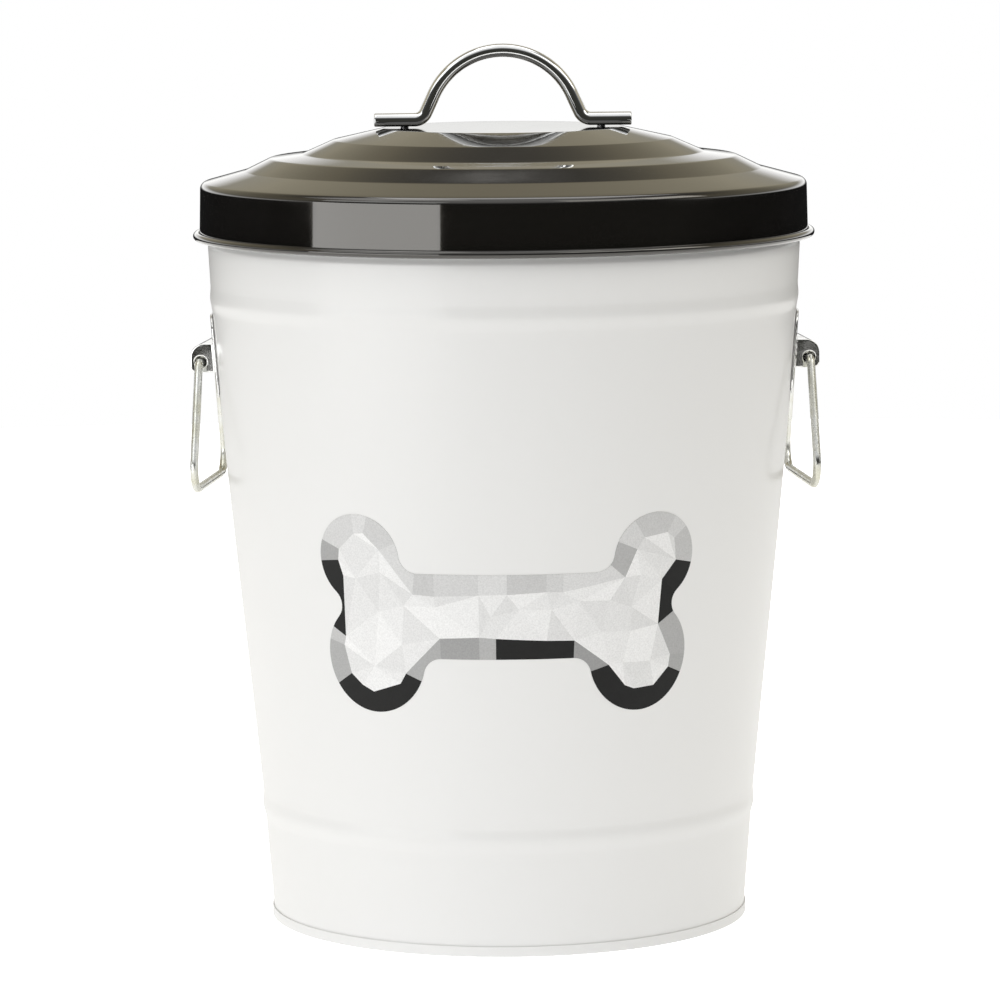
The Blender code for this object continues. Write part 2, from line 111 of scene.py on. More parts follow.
class BinBucketSettings(bpy.types.PropertyGroup):
    """Shape and paint of the bucket"""

    rim_height: length("Rim height", "Middle of the rim wire above the ground", RIM_HEIGHT)
    lower_radius: length("Lower radius", "Wall behind the lower bead", 0.1207)
    upper_radius: length("Upper radius", "Wall behind the upper bead", 0.1434)
    belly: length("Belly", "How far the wall stands outside a straight cone", 0.0011)
    lower_bead: length("Lower bead", "Height of the lower bead", 0.0559)
    upper_bead_drop: length("Upper bead", "Upper bead below the rim", 0.0541)
    bead_half_height: length("Bead half height", "Half the height of a bead", 0.0068)
    lower_bead_proud: length("Lower bead proud", "How far the lower bead stands out", 0.0009)
    upper_bead_proud: length("Upper bead proud", "How far the upper bead stands out", 0.0006)
    neck_drop: length("Neck", "Where the wall turns in, below the rim", 0.0293)
    neck_flare: length("Neck flare", "Neck radius over the wall at the upper bead", 0.0013)
    rim_inset: length("Rim inset", "How far the wall turns in under the rim", 0.0011)
    rim_inset_height: length("Rim inset height", "Height of that turn", 0.004)
    seam_width: length("Lock seam", "Width of the folded joint at the back", 0.006)
    seam_proud: length("Lock seam proud", "How far that joint stands out", 0.0005)
    foot_radius: length("Foot radius", "Outside of the folded foot", outer_radius("floor_pan"))
    foot_height: length("Foot height", "Height of the folded foot", 0.005)
    floor_height: length("Floor height", "Underside of the floor", 0.008)
    floor_panel_radius: length("Floor panel", "Radius of the floor's raised panel", 0.098)
    floor_panel_rise: length("Floor panel rise", "How far that panel is raised", 0.0015)
    paint: tint("Paint", "Colour of the bucket", (0.8, 0.8, 0.795))


class BinLidSettings(bpy.types.PropertyGroup):
    """Shape and paint of the lid"""

    clearance: length("Clearance", "Rim to skirt", 0.0007)
    skirt_height: length("Skirt", "Corner of the lid to its edge wire", 0.0255)
    skirt_flare: length("Skirt flare", "How far the skirt leans out", 0.0006)
    shoulder: length("Shoulder", "Radius between top and skirt", 0.0035)
    crease: length("Crease", "Radius between the steps", 0.006)
    paint: tint("Paint", "Colour of the lid", (0.006, 0.0055, 0.005))


class BinHandleSettings(bpy.types.PropertyGroup):
    """Shape and plating of the lid's handle"""

    length: length("Length", "End to end", 0.1256)
    spacing: length("Spacing", "Screw to screw", 0.096)
    thickness: length("Thickness", "Height of the bar's section", 0.0065)
    width: length("Width", "Width of the bar's section", 0.0095)
    arch: length("Arch", "Radius of the arch, middle of the bar", 0.0372)
    lean: slant("Leg lean", "Legs lean out from vertical", 24.5)
    height: length("Height", "Underside of the feet to the top of the bar", 0.04)
    bend: length("Bend", "Radius where a foot turns into a leg", 0.006)
    standoff: length("Standoff", "Feet above the lid", 0.0005)
    plating: tint("Plating", "Colour of the bar", (0.9, 0.91, 0.91))


class BinSideSettings(bpy.types.PropertyGroup):
    """Shape and metal of the ears, rivets and rings"""

    ear_sheet: length("Ear sheet", "Thickness of the ear", 0.001)
    ear_width: length("Ear width", "Width of the plate", 0.066)
    ear_above: length("Ear above", "Plate above the ring's pivot", 0.0235)
    ear_below: length("Ear below", "Plate below the ring's pivot", 0.017)
    ear_corner: length("Ear corner", "Radius of the plate's corners", 0.007)
    loop_length: length("Loop length", "Length of the pressed loop", 0.044)
    loop_above: length("Loop above", "Loop above the pivot", 0.009)
    loop_below: length("Loop below", "Loop below the pivot", 0.005)
    loop_outside: length("Loop outside", "Loop outside the pivot", 0.0051)
    loop_top: length("Loop top radius", "Rounding of the loop's top", 0.0065)
    loop_bottom: length("Loop bottom radius", "Rounding of the loop's bottom", 0.0025)
    ring_wire: length("Ring wire", "Radius of the ring's wire", 0.002)
    hole_clearance: length("Hole clearance", "Wire to the edge of its hole", 0.001)
    ring_top: length("Ring top", "Width at the top, middle to middle", 0.053)
    ring_bottom: length("Ring bottom", "Width at the bottom", 0.098)
    ring_drop: length("Ring drop", "Pivot to the bottom bar", 0.061)
    ring_top_radius: length("Top bend", "Radius of the upper bends", 0.0035)
    ring_corner: length("Corner bend", "Radius of the lower bends", 0.011)
    ring_end: length("Ring end", "Bent end past the loop's outer face", 0.005)
    rivet_rise: length("Upper rivet", "Upper rivet above the pivot", 0.015)
    rivet_fall: length("Lower rivet", "Lower rivet below the pivot", 0.0105)
    plating: tint("Plating", "Colour of the ears and rivets", (0.88, 0.88, 0.87))
    zinc: tint("Zinc", "Colour of the rings", (0.78, 0.79, 0.77))


class BinPrintSettings(bpy.types.PropertyGroup):
    """The bone printed on the front"""

    half_length: length("Half length", "Middle of the print to the middle of a lobe, round the wall", 0.0705)
    height: length("Height", "Middle of the print above the ground", 0.1652)
    shaft: length("Shaft", "Half the height of the shaft", 0.0203)
    upper_lobe: length("Upper lobes", "Radius of the upper lobes", 0.0215)
    lower_lobe: length("Lower lobes", "Radius of the lower lobes", 0.0265)
    lobe_spread: length("Lobe spread", "Lobe's edge above or below the middle", 0.0475)
    fillet: length("Fillet", "Radius where the shaft meets a lobe", 0.009)
    notch: length("Notch", "Radius between the two lobes of an end", 0.008)
    border: length("Border", "Width of the band round the edge", 0.0095)
    ink: length("Ink", "How far the ink stands out from the paint", 0.00012)


class BinStageSettings(bpy.types.PropertyGroup):
    """Camera, lights and floor"""

    camera_place: FloatVectorProperty(
        name="Camera place",
        description="Where the camera stands",
        default=(-0.00085, -2.5411, 0.5148),
        unit="LENGTH",
    )
    pitch: slant("Pitch", "How far it looks down", 6.958)
    yaw: slant("Yaw", "How far it looks right", -0.047)
    roll: slant("Roll", "Its tilt", -0.478)
    lens: FloatProperty(name="Lens", description="Focal length", default=187.03, unit="CAMERA")
    floor_radius: length("Floor radius", "Radius of the pale floor", 2.3, high=20)
    floor_paint: tint("Floor", "Colour of the floor", (0.86, 0.86, 0.86))


# ------------------------------------------------------------------ materials
def new_material(name, colour, roughness, metallic=0.0):
    """A material with its shader, ready for the nodes that give it detail."""
    made = bpy.data.materials.new(name)
    made.use_nodes = True
    shader = made.node_tree.nodes["Principled BSDF"]
    shader.inputs["Base Color"].default_value = (*colour, 1)
    shader.inputs["Roughness"].default_value = roughness
    shader.inputs["Metallic"].default_value = metallic
    return made, made.node_tree, shader


def grain(tree, scale, detail=3.0, stretch=(1, 1, 1)):
    """Noise fixed to the piece, in cells to the metre."""
    place = tree.nodes.new("ShaderNodeTexCoord")
    fit = tree.nodes.new("ShaderNodeMapping")
    fit.inputs["Scale"].default_value = stretch
    noise = tree.nodes.new("ShaderNodeTexNoise")
    noise.inputs["Scale"].default_value = scale
    noise.inputs["Detail"].default_value = detail
    tree.links.new(place.outputs["Object"], fit.inputs["Vector"])
    tree.links.new(fit.outputs["Vector"], noise.inputs["Vector"])
    return noise.outputs["Fac"]


def spread(tree, value, low, high, at=(0.35, 0.65)):
    """A value stretched from its usual span to low and high."""
    fit = tree.nodes.new("ShaderNodeMapRange")
    for name, number in (("From Min", at[0]), ("From Max", at[1]), ("To Min", low), ("To Max", high)):
        fit.inputs[name].default_value = number
    tree.links.new(value, fit.inputs["Value"])
    return fit.outputs["Result"]


def between(tree, amount, first, second):
    """One colour turning into another by amount."""
    mix = tree.nodes.new("ShaderNodeMix")
    mix.data_type = "RGBA"
    mix.inputs["A"].default_value = (*first, 1)
    mix.inputs["B"].default_value = (*second, 1)
    tree.links.new(amount, mix.inputs["Factor"])
    return mix.outputs["Result"]


def relief(tree, shader, *layers):
    """Bumps one over the other, each a height value, its strength and its depth in metres."""
    under = None
    for height, strength, depth in layers:
        bump = tree.nodes.new("ShaderNodeBump")
        bump.inputs["Strength"].default_value = strength
        bump.inputs["Distance"].default_value = depth
        tree.links.new(height, bump.inputs["Height"])
        if under:
            tree.links.new(under, bump.inputs["Normal"])
        under = bump.outputs["Normal"]
    tree.links.new(under, shader.inputs["Normal"])


def darker(colour, amount):
    return tuple(channel * amount for channel in colour)


def bucket_enamel(name, colour):
    """White sprayed enamel: faint orange peel and a slow change of tone and gloss."""
    made, tree, shader = new_material(name, colour, 0.34)
    shader.inputs["Coat Weight"].default_value = 0.25
    shader.inputs["Coat Roughness"].default_value = 0.12
    tone = spread(tree, grain(tree, 7, 1), 0, 1, (0.2, 0.8))
    tree.links.new(between(tree, tone, darker(colour, 0.99), colour), shader.inputs["Base Color"])
    tree.links.new(spread(tree, grain(tree, 12, 2), 0.3, 0.36, (0.2, 0.8)), shader.inputs["Roughness"])
    relief(tree, shader, (grain(tree, 900, 2), 0.04, 0.0002))
    return made


def lid_lacquer(name, colour):
    """Deep black gloss lacquer with specks of dust and faint hairlines."""
    made, tree, shader = new_material(name, colour, 0.09)
    shader.inputs["Coat Weight"].default_value = 1.0
    shader.inputs["Coat Roughness"].default_value = 0.03
    shader.inputs["Coat IOR"].default_value = 1.6
    shader.inputs["Specular Tint"].default_value = (1, 0.94, 0.83, 1)
    place = tree.nodes.new("ShaderNodeTexCoord")
    dust = tree.nodes.new("ShaderNodeTexVoronoi")
    dust.inputs["Scale"].default_value = 330
    tree.links.new(place.outputs["Object"], dust.inputs["Vector"])
    patches = spread(tree, grain(tree, 14, 3), 0.0, 0.085, (0.5, 0.75))
    near = tree.nodes.new("ShaderNodeMath")
    near.operation = "LESS_THAN"
    tree.links.new(dust.outputs["Distance"], near.inputs[0])
    tree.links.new(patches, near.inputs[1])
    dusty = tuple(min(1, channel + 0.16) for channel in colour)
    tree.links.new(between(tree, near.outputs[0], colour, dusty), shader.inputs["Base Color"])
    tree.links.new(spread(tree, grain(tree, 45, 5), 0.06, 0.12), shader.inputs["Roughness"])
    hairlines = grain(tree, 60, 4, (1, 14, 1))
    relief(tree, shader, (grain(tree, 24, 1), 0.05, 0.0012), (hairlines, 0.012, 0.0002))
    return made


def bright_plating(name, colour, dullness, marks):
    """Plated metal: clear in places, smeared in others, with fine drawing lines."""
    made, tree, shader = new_material(name, colour, dullness, 1.0)
    smear = grain(tree, 70, 6)
    tree.links.new(spread(tree, smear, dullness * 0.7, dullness * (1.4 + marks)), shader.inputs["Roughness"])
    stain = spread(tree, grain(tree, 130, 4), 0, 0.35 + marks)
    tree.links.new(between(tree, stain, colour, darker(colour, 0.82)), shader.inputs["Base Color"])
    drawing_lines = (grain(tree, 520, 3), 0.04 + 0.08 * marks, 0.0002)
    relief(tree, shader, drawing_lines, (grain(tree, 60, 1), 0.05, 0.0006))
    return made


def zinc_wire(name, colour):
    """Dull zinc on drawn wire, with olive and grey patches of passivation."""
    made, tree, shader = new_material(name, colour, 0.26, 1.0)
    patch = spread(tree, grain(tree, 95, 6), 0, 1)
    olive = (colour[0] * 0.82, colour[1] * 0.8, colour[2] * 0.7)
    tree.links.new(between(tree, patch, colour, olive), shader.inputs["Base Color"])
    tree.links.new(spread(tree, grain(tree, 210, 5), 0.17, 0.36), shader.inputs["Roughness"])
    relief(tree, shader, (grain(tree, 640, 4), 0.18, 0.0002), (grain(tree, 120, 2), 0.12, 0.0005))
    return made


def plain_steel(name):
    """Bare turned steel of the screws, washers and edge wires."""
    colour = (0.52, 0.52, 0.53)
    made, tree, shader = new_material(name, colour, 0.34, 1.0)
    worn = spread(tree, grain(tree, 240, 5), 0, 1)
    tree.links.new(between(tree, worn, colour, darker(colour, 0.7)), shader.inputs["Base Color"])
    tree.links.new(spread(tree, grain(tree, 420, 4), 0.24, 0.46), shader.inputs["Roughness"])
    relief(tree, shader, (grain(tree, 900, 3, (1, 1, 5)), 0.15, 0.0001))
    return made


def printed_ink(name):
    """Screen-printed ink in flat greys, one to a facet, with a speckle where it is thin."""
    made, tree, shader = new_material(name, (0.5, 0.5, 0.5), 0.45)
    shader.inputs["Specular IOR Level"].default_value = 0.18
    facet = tree.nodes.new("ShaderNodeAttribute")
    facet.attribute_name = "ink"
    speckle = spread(tree, grain(tree, 1400, 3), 0.9, 1.07, (0.3, 0.7))
    shade = tree.nodes.new("ShaderNodeVectorMath")
    shade.operation = "SCALE"
    tree.links.new(facet.outputs["Color"], shade.inputs[0])
    tree.links.new(speckle, shade.inputs["Scale"])
    tree.links.new(shade.outputs["Vector"], shader.inputs["Base Color"])
    tree.links.new(spread(tree, grain(tree, 300, 4), 0.36, 0.5), shader.inputs["Roughness"])
    relief(tree, shader, (grain(tree, 1100, 2), 0.06, 0.0001))
    return made


# ------------------------------------------------------------------ lines and shapes
def arc(middle, radius, start, turn, steps):
    """Points of an arc in a plane, from angle start through angle turn."""
    angles = [start + turn * i / steps for i in range(steps + 1)]
    return [Vector((middle[0] + radius * cos(a), middle[1] + radius * sin(a))) for a in angles]


def rounded(points, radius, steps):
    """The open line through points with its corners turned into arcs."""
    corners = [Vector(point) for point in points]
    line = corners[:1]
    for before, corner, after in zip(corners, corners[1:], corners[2:]):
        back, ahead = (before - corner).normalized(), (after - corner).normalized()
        half = back.angle(ahead) / 2
        middle = corner + (back + ahead).normalized() * (radius / sin(half))
        tangent = radius / sin(half) * cos(half)
        start = (corner + back * tangent - middle).normalized()
        end = (corner + ahead * tangent - middle).normalized()
        line += [middle + start.slerp(end, i / steps) * radius for i in range(steps + 1)]
    return line + corners[-1:]


def sheet_outline(line, thickness):
    """Closed outline of a sheet whose one face follows line, with its metal on the line's right."""
    sides = [(b - a).normalized() for a, b in zip(line, line[1:])]
    sides = [Vector((side.y, -side.x)) for side in sides]
    far_side = []
    for point, before, after in zip(line, sides[:1] + sides, sides + sides[-1:]):
        middle = (before + after).normalized()
        far_side.append(point + middle * (thickness / middle.dot(after)))
    return line + far_side[::-1]


def divided(line, step):
    """The line with its long straight runs cut up, so that no run is longer than step."""
    made = [line[0]]
    for a, b in zip(line, line[1:]):
        runs = max(1, int((b - a).length / step))
        made += [a.lerp(b, i / runs) for i in range(1, runs + 1)]
    return made


def close_mesh(name, corners, faces):
    """A mesh whose faces all look outwards."""
    mesh = bpy.data.meshes.new(name)
    mesh.from_pydata([tuple(corner) for corner in corners], [], faces)
    shape = bmesh.new()
    shape.from_mesh(mesh)
    bmesh.ops.recalc_face_normals(shape, faces=shape.faces)
    shape.to_mesh(mesh)
    shape.free()
    return mesh


def turned(name, outline, angles):
    """An outline of radius and height turned about Z. One that starts on the axis gets flat ends."""
    places = [(point[0], point[1]) for point in outline if point[0] > 0]
    count = len(angles)
    corners = [(r * cos(a), r * sin(a), z) for r, z in places for a in angles]
    solid = outline[0][0] == 0
    faces = []
    for ring in range(len(places) - 1 if solid else len(places)):
        low, high = ring * count, (ring + 1) % len(places) * count
        faces += [(low + i, low + (i + 1) % count, high + (i + 1) % count, high + i) for i in range(count)]
    if solid:
        faces += [tuple(range(count)), tuple(range((len(places) - 1) * count, len(places) * count))]
    return close_mesh(name, corners, faces)


def around(columns):
    return [2 * pi * i / columns for i in range(columns)]


def swept(name, line, section, across, ease=0.0):
    """A section of (out, across) points swept along a flat line, square to across, its ends eased off."""
    runs = [(b - a).normalized() for a, b in zip(line, line[1:])]
    spots = list(zip(line, runs[:1] + runs, runs + runs[-1:], [1.0] * len(line)))
    if ease:
        steps = 6
        for end, run in ((0, -runs[0]), (-1, runs[-1])):
            cap = []
            for i in range(1, steps + 1):
                turn = pi / 2 * i / steps
                size = 1 - ease * (1 - cos(turn)) / min(abs(u) + abs(v) for u, v in section)
                cap.append((line[end] + run * ease * sin(turn), runs[end], runs[end], size))
            spots = cap[::-1] + spots if end == 0 else spots + cap
    corners = []
    for point, before, after, size in spots:
        out = across.cross((before + after).normalized())
        stretch = 1 / out.dot(across.cross(after))
        corners += [point + out * (u * stretch * size) + across * (v * size) for u, v in section]
    count, faces = len(section), []
    for ring in range(len(spots) - 1):
        low, high = ring * count, (ring + 1) * count
        faces += [(low + i, low + (i + 1) % count, high + (i + 1) % count, high + i) for i in range(count)]
    faces += [tuple(range(count)), tuple(range((len(spots) - 1) * count, len(spots) * count))]
    return close_mesh(name, corners, faces)


def extruded(name, outline, half_length, placed):
    """A closed outline of 2D points carried both ways. placed turns a point and depth into 3D."""
    count = len(outline)
    corners = [placed(point, depth) for depth in (-half_length, half_length) for point in outline]
    faces = [(i, (i + 1) % count, count + (i + 1) % count, count + i) for i in range(count)]
    faces += [tuple(range(count)), tuple(range(count, 2 * count))]
    return close_mesh(name, corners, faces)


def circle(radius, steps, middle=(0, 0)):
    return arc(middle, radius, 0, 2 * pi, steps)[:-1]


# ------------------------------------------------------------------ pieces
def add_piece(name, mesh, material, body, node=None, place=None, sharp=32):
    """A finished piece on its body, standing for its node of the frame."""
    if place:
        mesh.transform(place)
    mesh.materials.clear()
    mesh.materials.append(material)
    mesh.shade_smooth()
    mesh.set_sharp_from_angle(angle=radians(sharp))
    made = bpy.data.objects.new(name, mesh)
    bpy.context.scene.collection.objects.link(made)
    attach(made, body)
    if node:
        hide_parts(node)
    return made


def carve(mesh, others, operation="DIFFERENCE"):
    """The mesh with others taken out of it, joined to it, or kept in common."""
    base = bpy.data.objects.new("base", mesh)
    bpy.context.scene.collection.objects.link(base)
    helpers = [base]
    for number, other in enumerate(others):
        helper = bpy.data.objects.new(f"helper_{number}", other)
        bpy.context.scene.collection.objects.link(helper)
        modifier = base.modifiers.new("carve", "BOOLEAN")
        modifier.operation, modifier.solver, modifier.object = operation, "EXACT", helper
        helpers.append(helper)
    graph = bpy.context.evaluated_depsgraph_get()
    result = bpy.data.meshes.new_from_object(base.evaluated_get(graph))
    for helper in helpers:
        bpy.data.objects.remove(helper)
    if not result.polygons:
        raise RuntimeError(f"nothing is left of {mesh.name} after {operation.lower()}")
    return result


def soften(mesh, voxel, passes):
    """The mesh laid out afresh in small even faces, with its edges eased like pressed metal."""
    base = bpy.data.objects.new("base", mesh)
    bpy.context.scene.collection.objects.link(base)
    remesh = base.modifiers.new("even", "REMESH")
    remesh.mode, remesh.voxel_size = "VOXEL", voxel
    smooth = base.modifiers.new("ease", "SMOOTH")
    smooth.factor, smooth.iterations = 0.5, passes
    graph = bpy.context.evaluated_depsgraph_get()
    result = bpy.data.meshes.new_from_object(base.evaluated_get(graph))
    bpy.data.objects.remove(base)
    return result


def wall_radius(bucket, sheets, z):
    """Outside radius of the bucket wall at heights z."""
    z = np.asarray(z, float)
    lower = bucket.lower_bead
    upper = bucket.rim_height - bucket.upper_bead_drop
    neck = bucket.rim_height - bucket.neck_drop
    foot = bucket.foot_radius - sheets.sheet - sheets.gap
    flare = bucket.upper_radius + bucket.neck_flare
    lean = (bucket.lower_radius - foot) / (lower - bucket.foot_height)
    heights = [0, bucket.foot_height, lower, upper, neck]
    radii = [foot - lean * bucket.foot_height, foot, bucket.lower_radius, bucket.upper_radius, flare]
    turn = np.clip((z - neck) / bucket.rim_inset_height, 0, 1)
    along = np.clip((z - lower) / (upper - lower), 0, 1)
    radius = np.interp(z, heights, radii) - bucket.rim_inset * turn * turn * (3 - 2 * turn)
    radius = radius + bucket.belly * 27 / 4 * along * along * (1 - along)
    for middle, proud in ((lower, bucket.lower_bead_proud), (upper, bucket.upper_bead_proud)):
        reach = np.clip(abs(z - middle) / bucket.bead_half_height, 0, 1)
        radius = radius + proud * np.cos(reach * pi / 2) ** 2
    return radius


def rim_places(bucket, sheets):
    """Radius of the rim wire's middle, and of the roll round it."""
    roll = sheets.wire_radius + sheets.gap
    return bucket.upper_radius + bucket.neck_flare - bucket.rim_inset + roll, roll


# The folded joint at the back, in halves of its width: how wide its edges fade, and how far points are tried
SEAM_FADE = 0.35
SEAM_REACH = 1.6
# Facets round an edge wire
WIRE_FACETS = 16


def seam_angles(bucket, columns):
    """Columns round the bin, closer at the folded joint at the back, and half that joint's angle."""
    edge = bucket.seam_width / 2 / bucket.upper_radius
    reach = 2 * edge
    cuts = 24
    extra = [pi / 2 - reach + 2 * reach * i / cuts for i in range(cuts + 1)]
    kept = [angle for angle in around(columns) if abs(angle - pi / 2) > reach * 1.05]
    return sorted(kept + extra), edge


def raise_seam(mesh, bucket, sheets, edge):
    """Lifts the outside of the wall along the folded joint, fading at its edges and at the neck."""
    half = bucket.bead_half_height
    end = bucket.rim_height - bucket.neck_drop + half
    for vert in mesh.vertices:
        x, y, z = vert.co
        radius = sqrt(x * x + y * y)
        off = abs(atan2(y, x) - pi / 2) / edge
        if off >= SEAM_REACH or not bucket.foot_height < z < end:
            continue
        if radius > float(wall_radius(bucket, sheets, z)) - sheets.sheet / 2:
            fade = max(0.0, min(1.0, (1 + SEAM_FADE - off) / SEAM_FADE))
            fade *= max(0.0, min(1.0, (end - z) / (2 * half)))
            step = 1 + bucket.seam_proud * fade * fade * (3 - 2 * fade) / radius
            vert.co.x, vert.co.y = x * step, y * step


def build_bucket(bucket, sheets, side):
    """Wall with its beads, rolled rim, lock seam and rivet holes, the floor, and the wire in the rim."""
    bottom = sheets.sheet + sheets.gap
    neck = bucket.rim_height - bucket.neck_drop
    upper = bucket.rim_height - bucket.upper_bead_drop
    half = bucket.bead_half_height
    spans = [(bottom, bucket.foot_height, 3), (bucket.foot_height, bucket.lower_bead - half, 12)]
    spans += [(bucket.lower_bead - half, bucket.lower_bead + half, 22)]
    spans += [(bucket.lower_bead + half, upper - half, 56), (upper - half, upper + half, 22)]
    spans += [(upper + half, neck, 8), (neck, neck + bucket.rim_inset_height, 10)]
    heights = [z for low, high, steps in spans for z in np.linspace(low, high, steps + 1)[:-1]]
    heights += [neck + bucket.rim_inset_height]
    radii = wall_radius(bucket, sheets, heights)
    line = [Vector((float(r), float(z))) for r, z in zip(radii, heights)]
    middle, roll = rim_places(bucket, sheets)
    line += divided([line[-1], Vector((middle - roll, bucket.rim_height))], 0.003)[1:-1]
    line += arc((middle, bucket.rim_height), roll, pi, -sheets.curl, 26)
    outline = sheet_outline(line[::-1], sheets.sheet)
    angles, edge = seam_angles(bucket, sheets.columns)
    mesh = turned("bucket_wall", outline, angles)
    raise_seam(mesh, bucket, sheets, edge)
    bars = []
    for _, radius, place in side_places():
        for bar in rivet_bars(side, bucket, sheets, radius):
            bar.transform(place)
            bars.append(bar)
    mesh = carve(mesh, bars)
    enamel = bucket_enamel("bucket_enamel", bucket.paint)
    add_piece("bin_wall", mesh, enamel, "bucket", "bucket_wall")
    build_floor(bucket, sheets, enamel)
    section = circle(sheets.wire_radius, WIRE_FACETS, (middle, bucket.rim_height))
    wire = turned("rim_wire", section, around(sheets.columns))
    add_piece("bin_rim_wire", wire, plain_steel("rim_wire_steel"), "bucket", "rim_wire")


def build_floor(bucket, sheets, enamel):
    """The floor: a raised panel, a flange down inside the wall, and the fold the bin stands on."""
    sheet = sheets.sheet
    flange = float(wall_radius(bucket, sheets, sheet + sheets.gap)) - sheet - sheets.gap
    fold = bucket.foot_radius - sheet
    top = bucket.floor_height + sheet
    raised = top + bucket.floor_panel_rise
    panel = bucket.floor_panel_radius
    flat = [Vector((r, raised)) for r in (0.02, 0.05, 0.08)]
    slope = rounded([flat[-1], (panel - 0.003, raised), (panel, top), (panel + 0.012, top)], 0.002, 6)[1:]
    turn = rounded([slope[-1], (flange, top), (flange, 0.004)], 0.0015, 6)[1:]
    lip = (fold - 0.8 * sheets.gap, bucket.foot_height)
    foot = rounded([turn[-1], (flange, sheet), (fold, sheet), lip], 0.0003, 5)[1:]
    line = [Vector((0, raised)), *flat, *slope, *turn, *foot]
    outline = sheet_outline(line, sheet)
    mesh = turned("floor_pan", outline, around(sheets.columns))
    add_piece("bin_floor", mesh, enamel, "bucket", "floor_pan")


def lid_places(lid, bucket, sheets):
    """Radius of the skirt, and height above the ground of the corner between it and the lid's top."""
    middle, roll = rim_places(bucket, sheets)
    skirt = middle + roll + 2 * sheets.sheet + lid.clearance
    corner = LID_EDGE_HEIGHT + lid.skirt_height
    return skirt, corner


# Each ring of the lid's top from the skirt inwards: its width and how far it rises
LID_RINGS = ((0.0217, 0.0059), (0.0124, 0.0060), (0.0159, 0.0020), (0.0151, 0.0066), (0.0246, 0.0055))


def lid_line(lid, bucket, sheets):
    """Upper face of the lid from the middle to the skirt, then out round the edge wire."""
    skirt, corner = lid_places(lid, bucket, sheets)
    radius, height = skirt, corner
    top = [(radius, height)]
    for width, rise in LID_RINGS:
        radius, height = radius - width, height + rise
        top.append((radius, height))
    creases = rounded([(0.0, height), *top[:0:-1], top[0]], lid.crease, 8)[1:-1]
    foot = (skirt + lid.skirt_flare, LID_EDGE_HEIGHT)
    shoulder = rounded([creases[-1], top[0], foot], lid.shoulder, 12)[1:-1]
    roll = sheets.wire_radius + sheets.gap
    curl = arc((foot[0] + roll, foot[1]), roll, pi, sheets.curl, 26)
    flat = [Vector((r, height)) for r in (0.012, 0.03, 0.045)]
    line = divided([*flat, *creases, *shoulder, curl[0]], 0.0028)[:-1] + curl
    return [Vector((0, height)), *line]


# Radius of the hole that a handle screw goes through, and facets round small holes and pins
SCREW_HOLE = 0.0023
SMALL_FACETS = 48


def build_lid(lid, bucket, sheets, handle):
    """The pressed lid with a hole for each handle screw, and the wire in its rolled edge."""
    outline = sheet_outline(lid_line(lid, bucket, sheets), sheets.sheet)
    mesh = turned("lid_shell", outline, around(sheets.columns))
    holes = []
    for side in (-1, 1):
        hole = turned("hole", bar_outline(SCREW_HOLE, -0.003, 0.003), around(SMALL_FACETS))
        hole.transform(Matrix.Translation((side * handle.spacing / 2, 0, LID_TOP)))
        holes.append(hole)
    lacquer = lid_lacquer("lid_lacquer", lid.paint)
    add_piece("bin_lid", carve(mesh, holes), lacquer, "lid", "lid_shell")
    skirt, _ = lid_places(lid, bucket, sheets)
    wire_place = (skirt + lid.skirt_flare + sheets.wire_radius + sheets.gap, LID_EDGE_HEIGHT)
    wire = turned("edge_wire", circle(sheets.wire_radius, WIRE_FACETS, wire_place), around(sheets.columns))
    add_piece("bin_lid_edge_wire", wire, plain_steel("edge_wire_steel"), "lid", "lid_edge_wire")


def bar_outline(radius, low, high):
    """Half outline of a plain round bar along Z."""
    return [(0, low), (radius, low), (radius, high), (0, high)]


def handle_line(handle):
    """Middle of the bar from the left end to the right: foot, bend, leg, arch and back down."""
    foot = handle.thickness / 2
    arch_z = handle.height - foot - handle.arch
    reach = handle.arch + handle.bend
    bend_z = foot + handle.bend
    leg_drop = arch_z + reach * sin(handle.lean) - bend_z
    bend_x = reach * cos(handle.lean) + leg_drop * tan(handle.lean)
    bend = arc((bend_x, bend_z), handle.bend, pi + handle.lean, pi / 2 - handle.lean, 18)
    arch = arc((0, arch_z), handle.arch, handle.lean, pi / 2 - handle.lean, 48)[::-1]
    right = divided(arch + bend + [Vector((handle.length / 2 - 0.0006, foot))], 0.0016)
    left = [Vector((-x, z)) for x, z in right[:0:-1]]
    return [Vector((x, 0, z)) for x, z in left + right]


def bar_section(handle, steps=48):
    """Section of the bar: a flattened round with softly squared sides and a shallow crown."""
    power = 3
    points = []
    for i in range(steps):
        angle = 2 * pi * (i + 0.5) / steps
        out, across = cos(angle), sin(angle)
        size = (abs(out) ** power + abs(across) ** power) ** (-1 / power)
        points.append((out * size * handle.thickness / 2, across * size * handle.width / 2))
    return points


# How far a screw and its blind bore reach up into the bar, from the bar's underside
SCREW_DEPTH = 0.0042
BORE_DEPTH = 0.0045


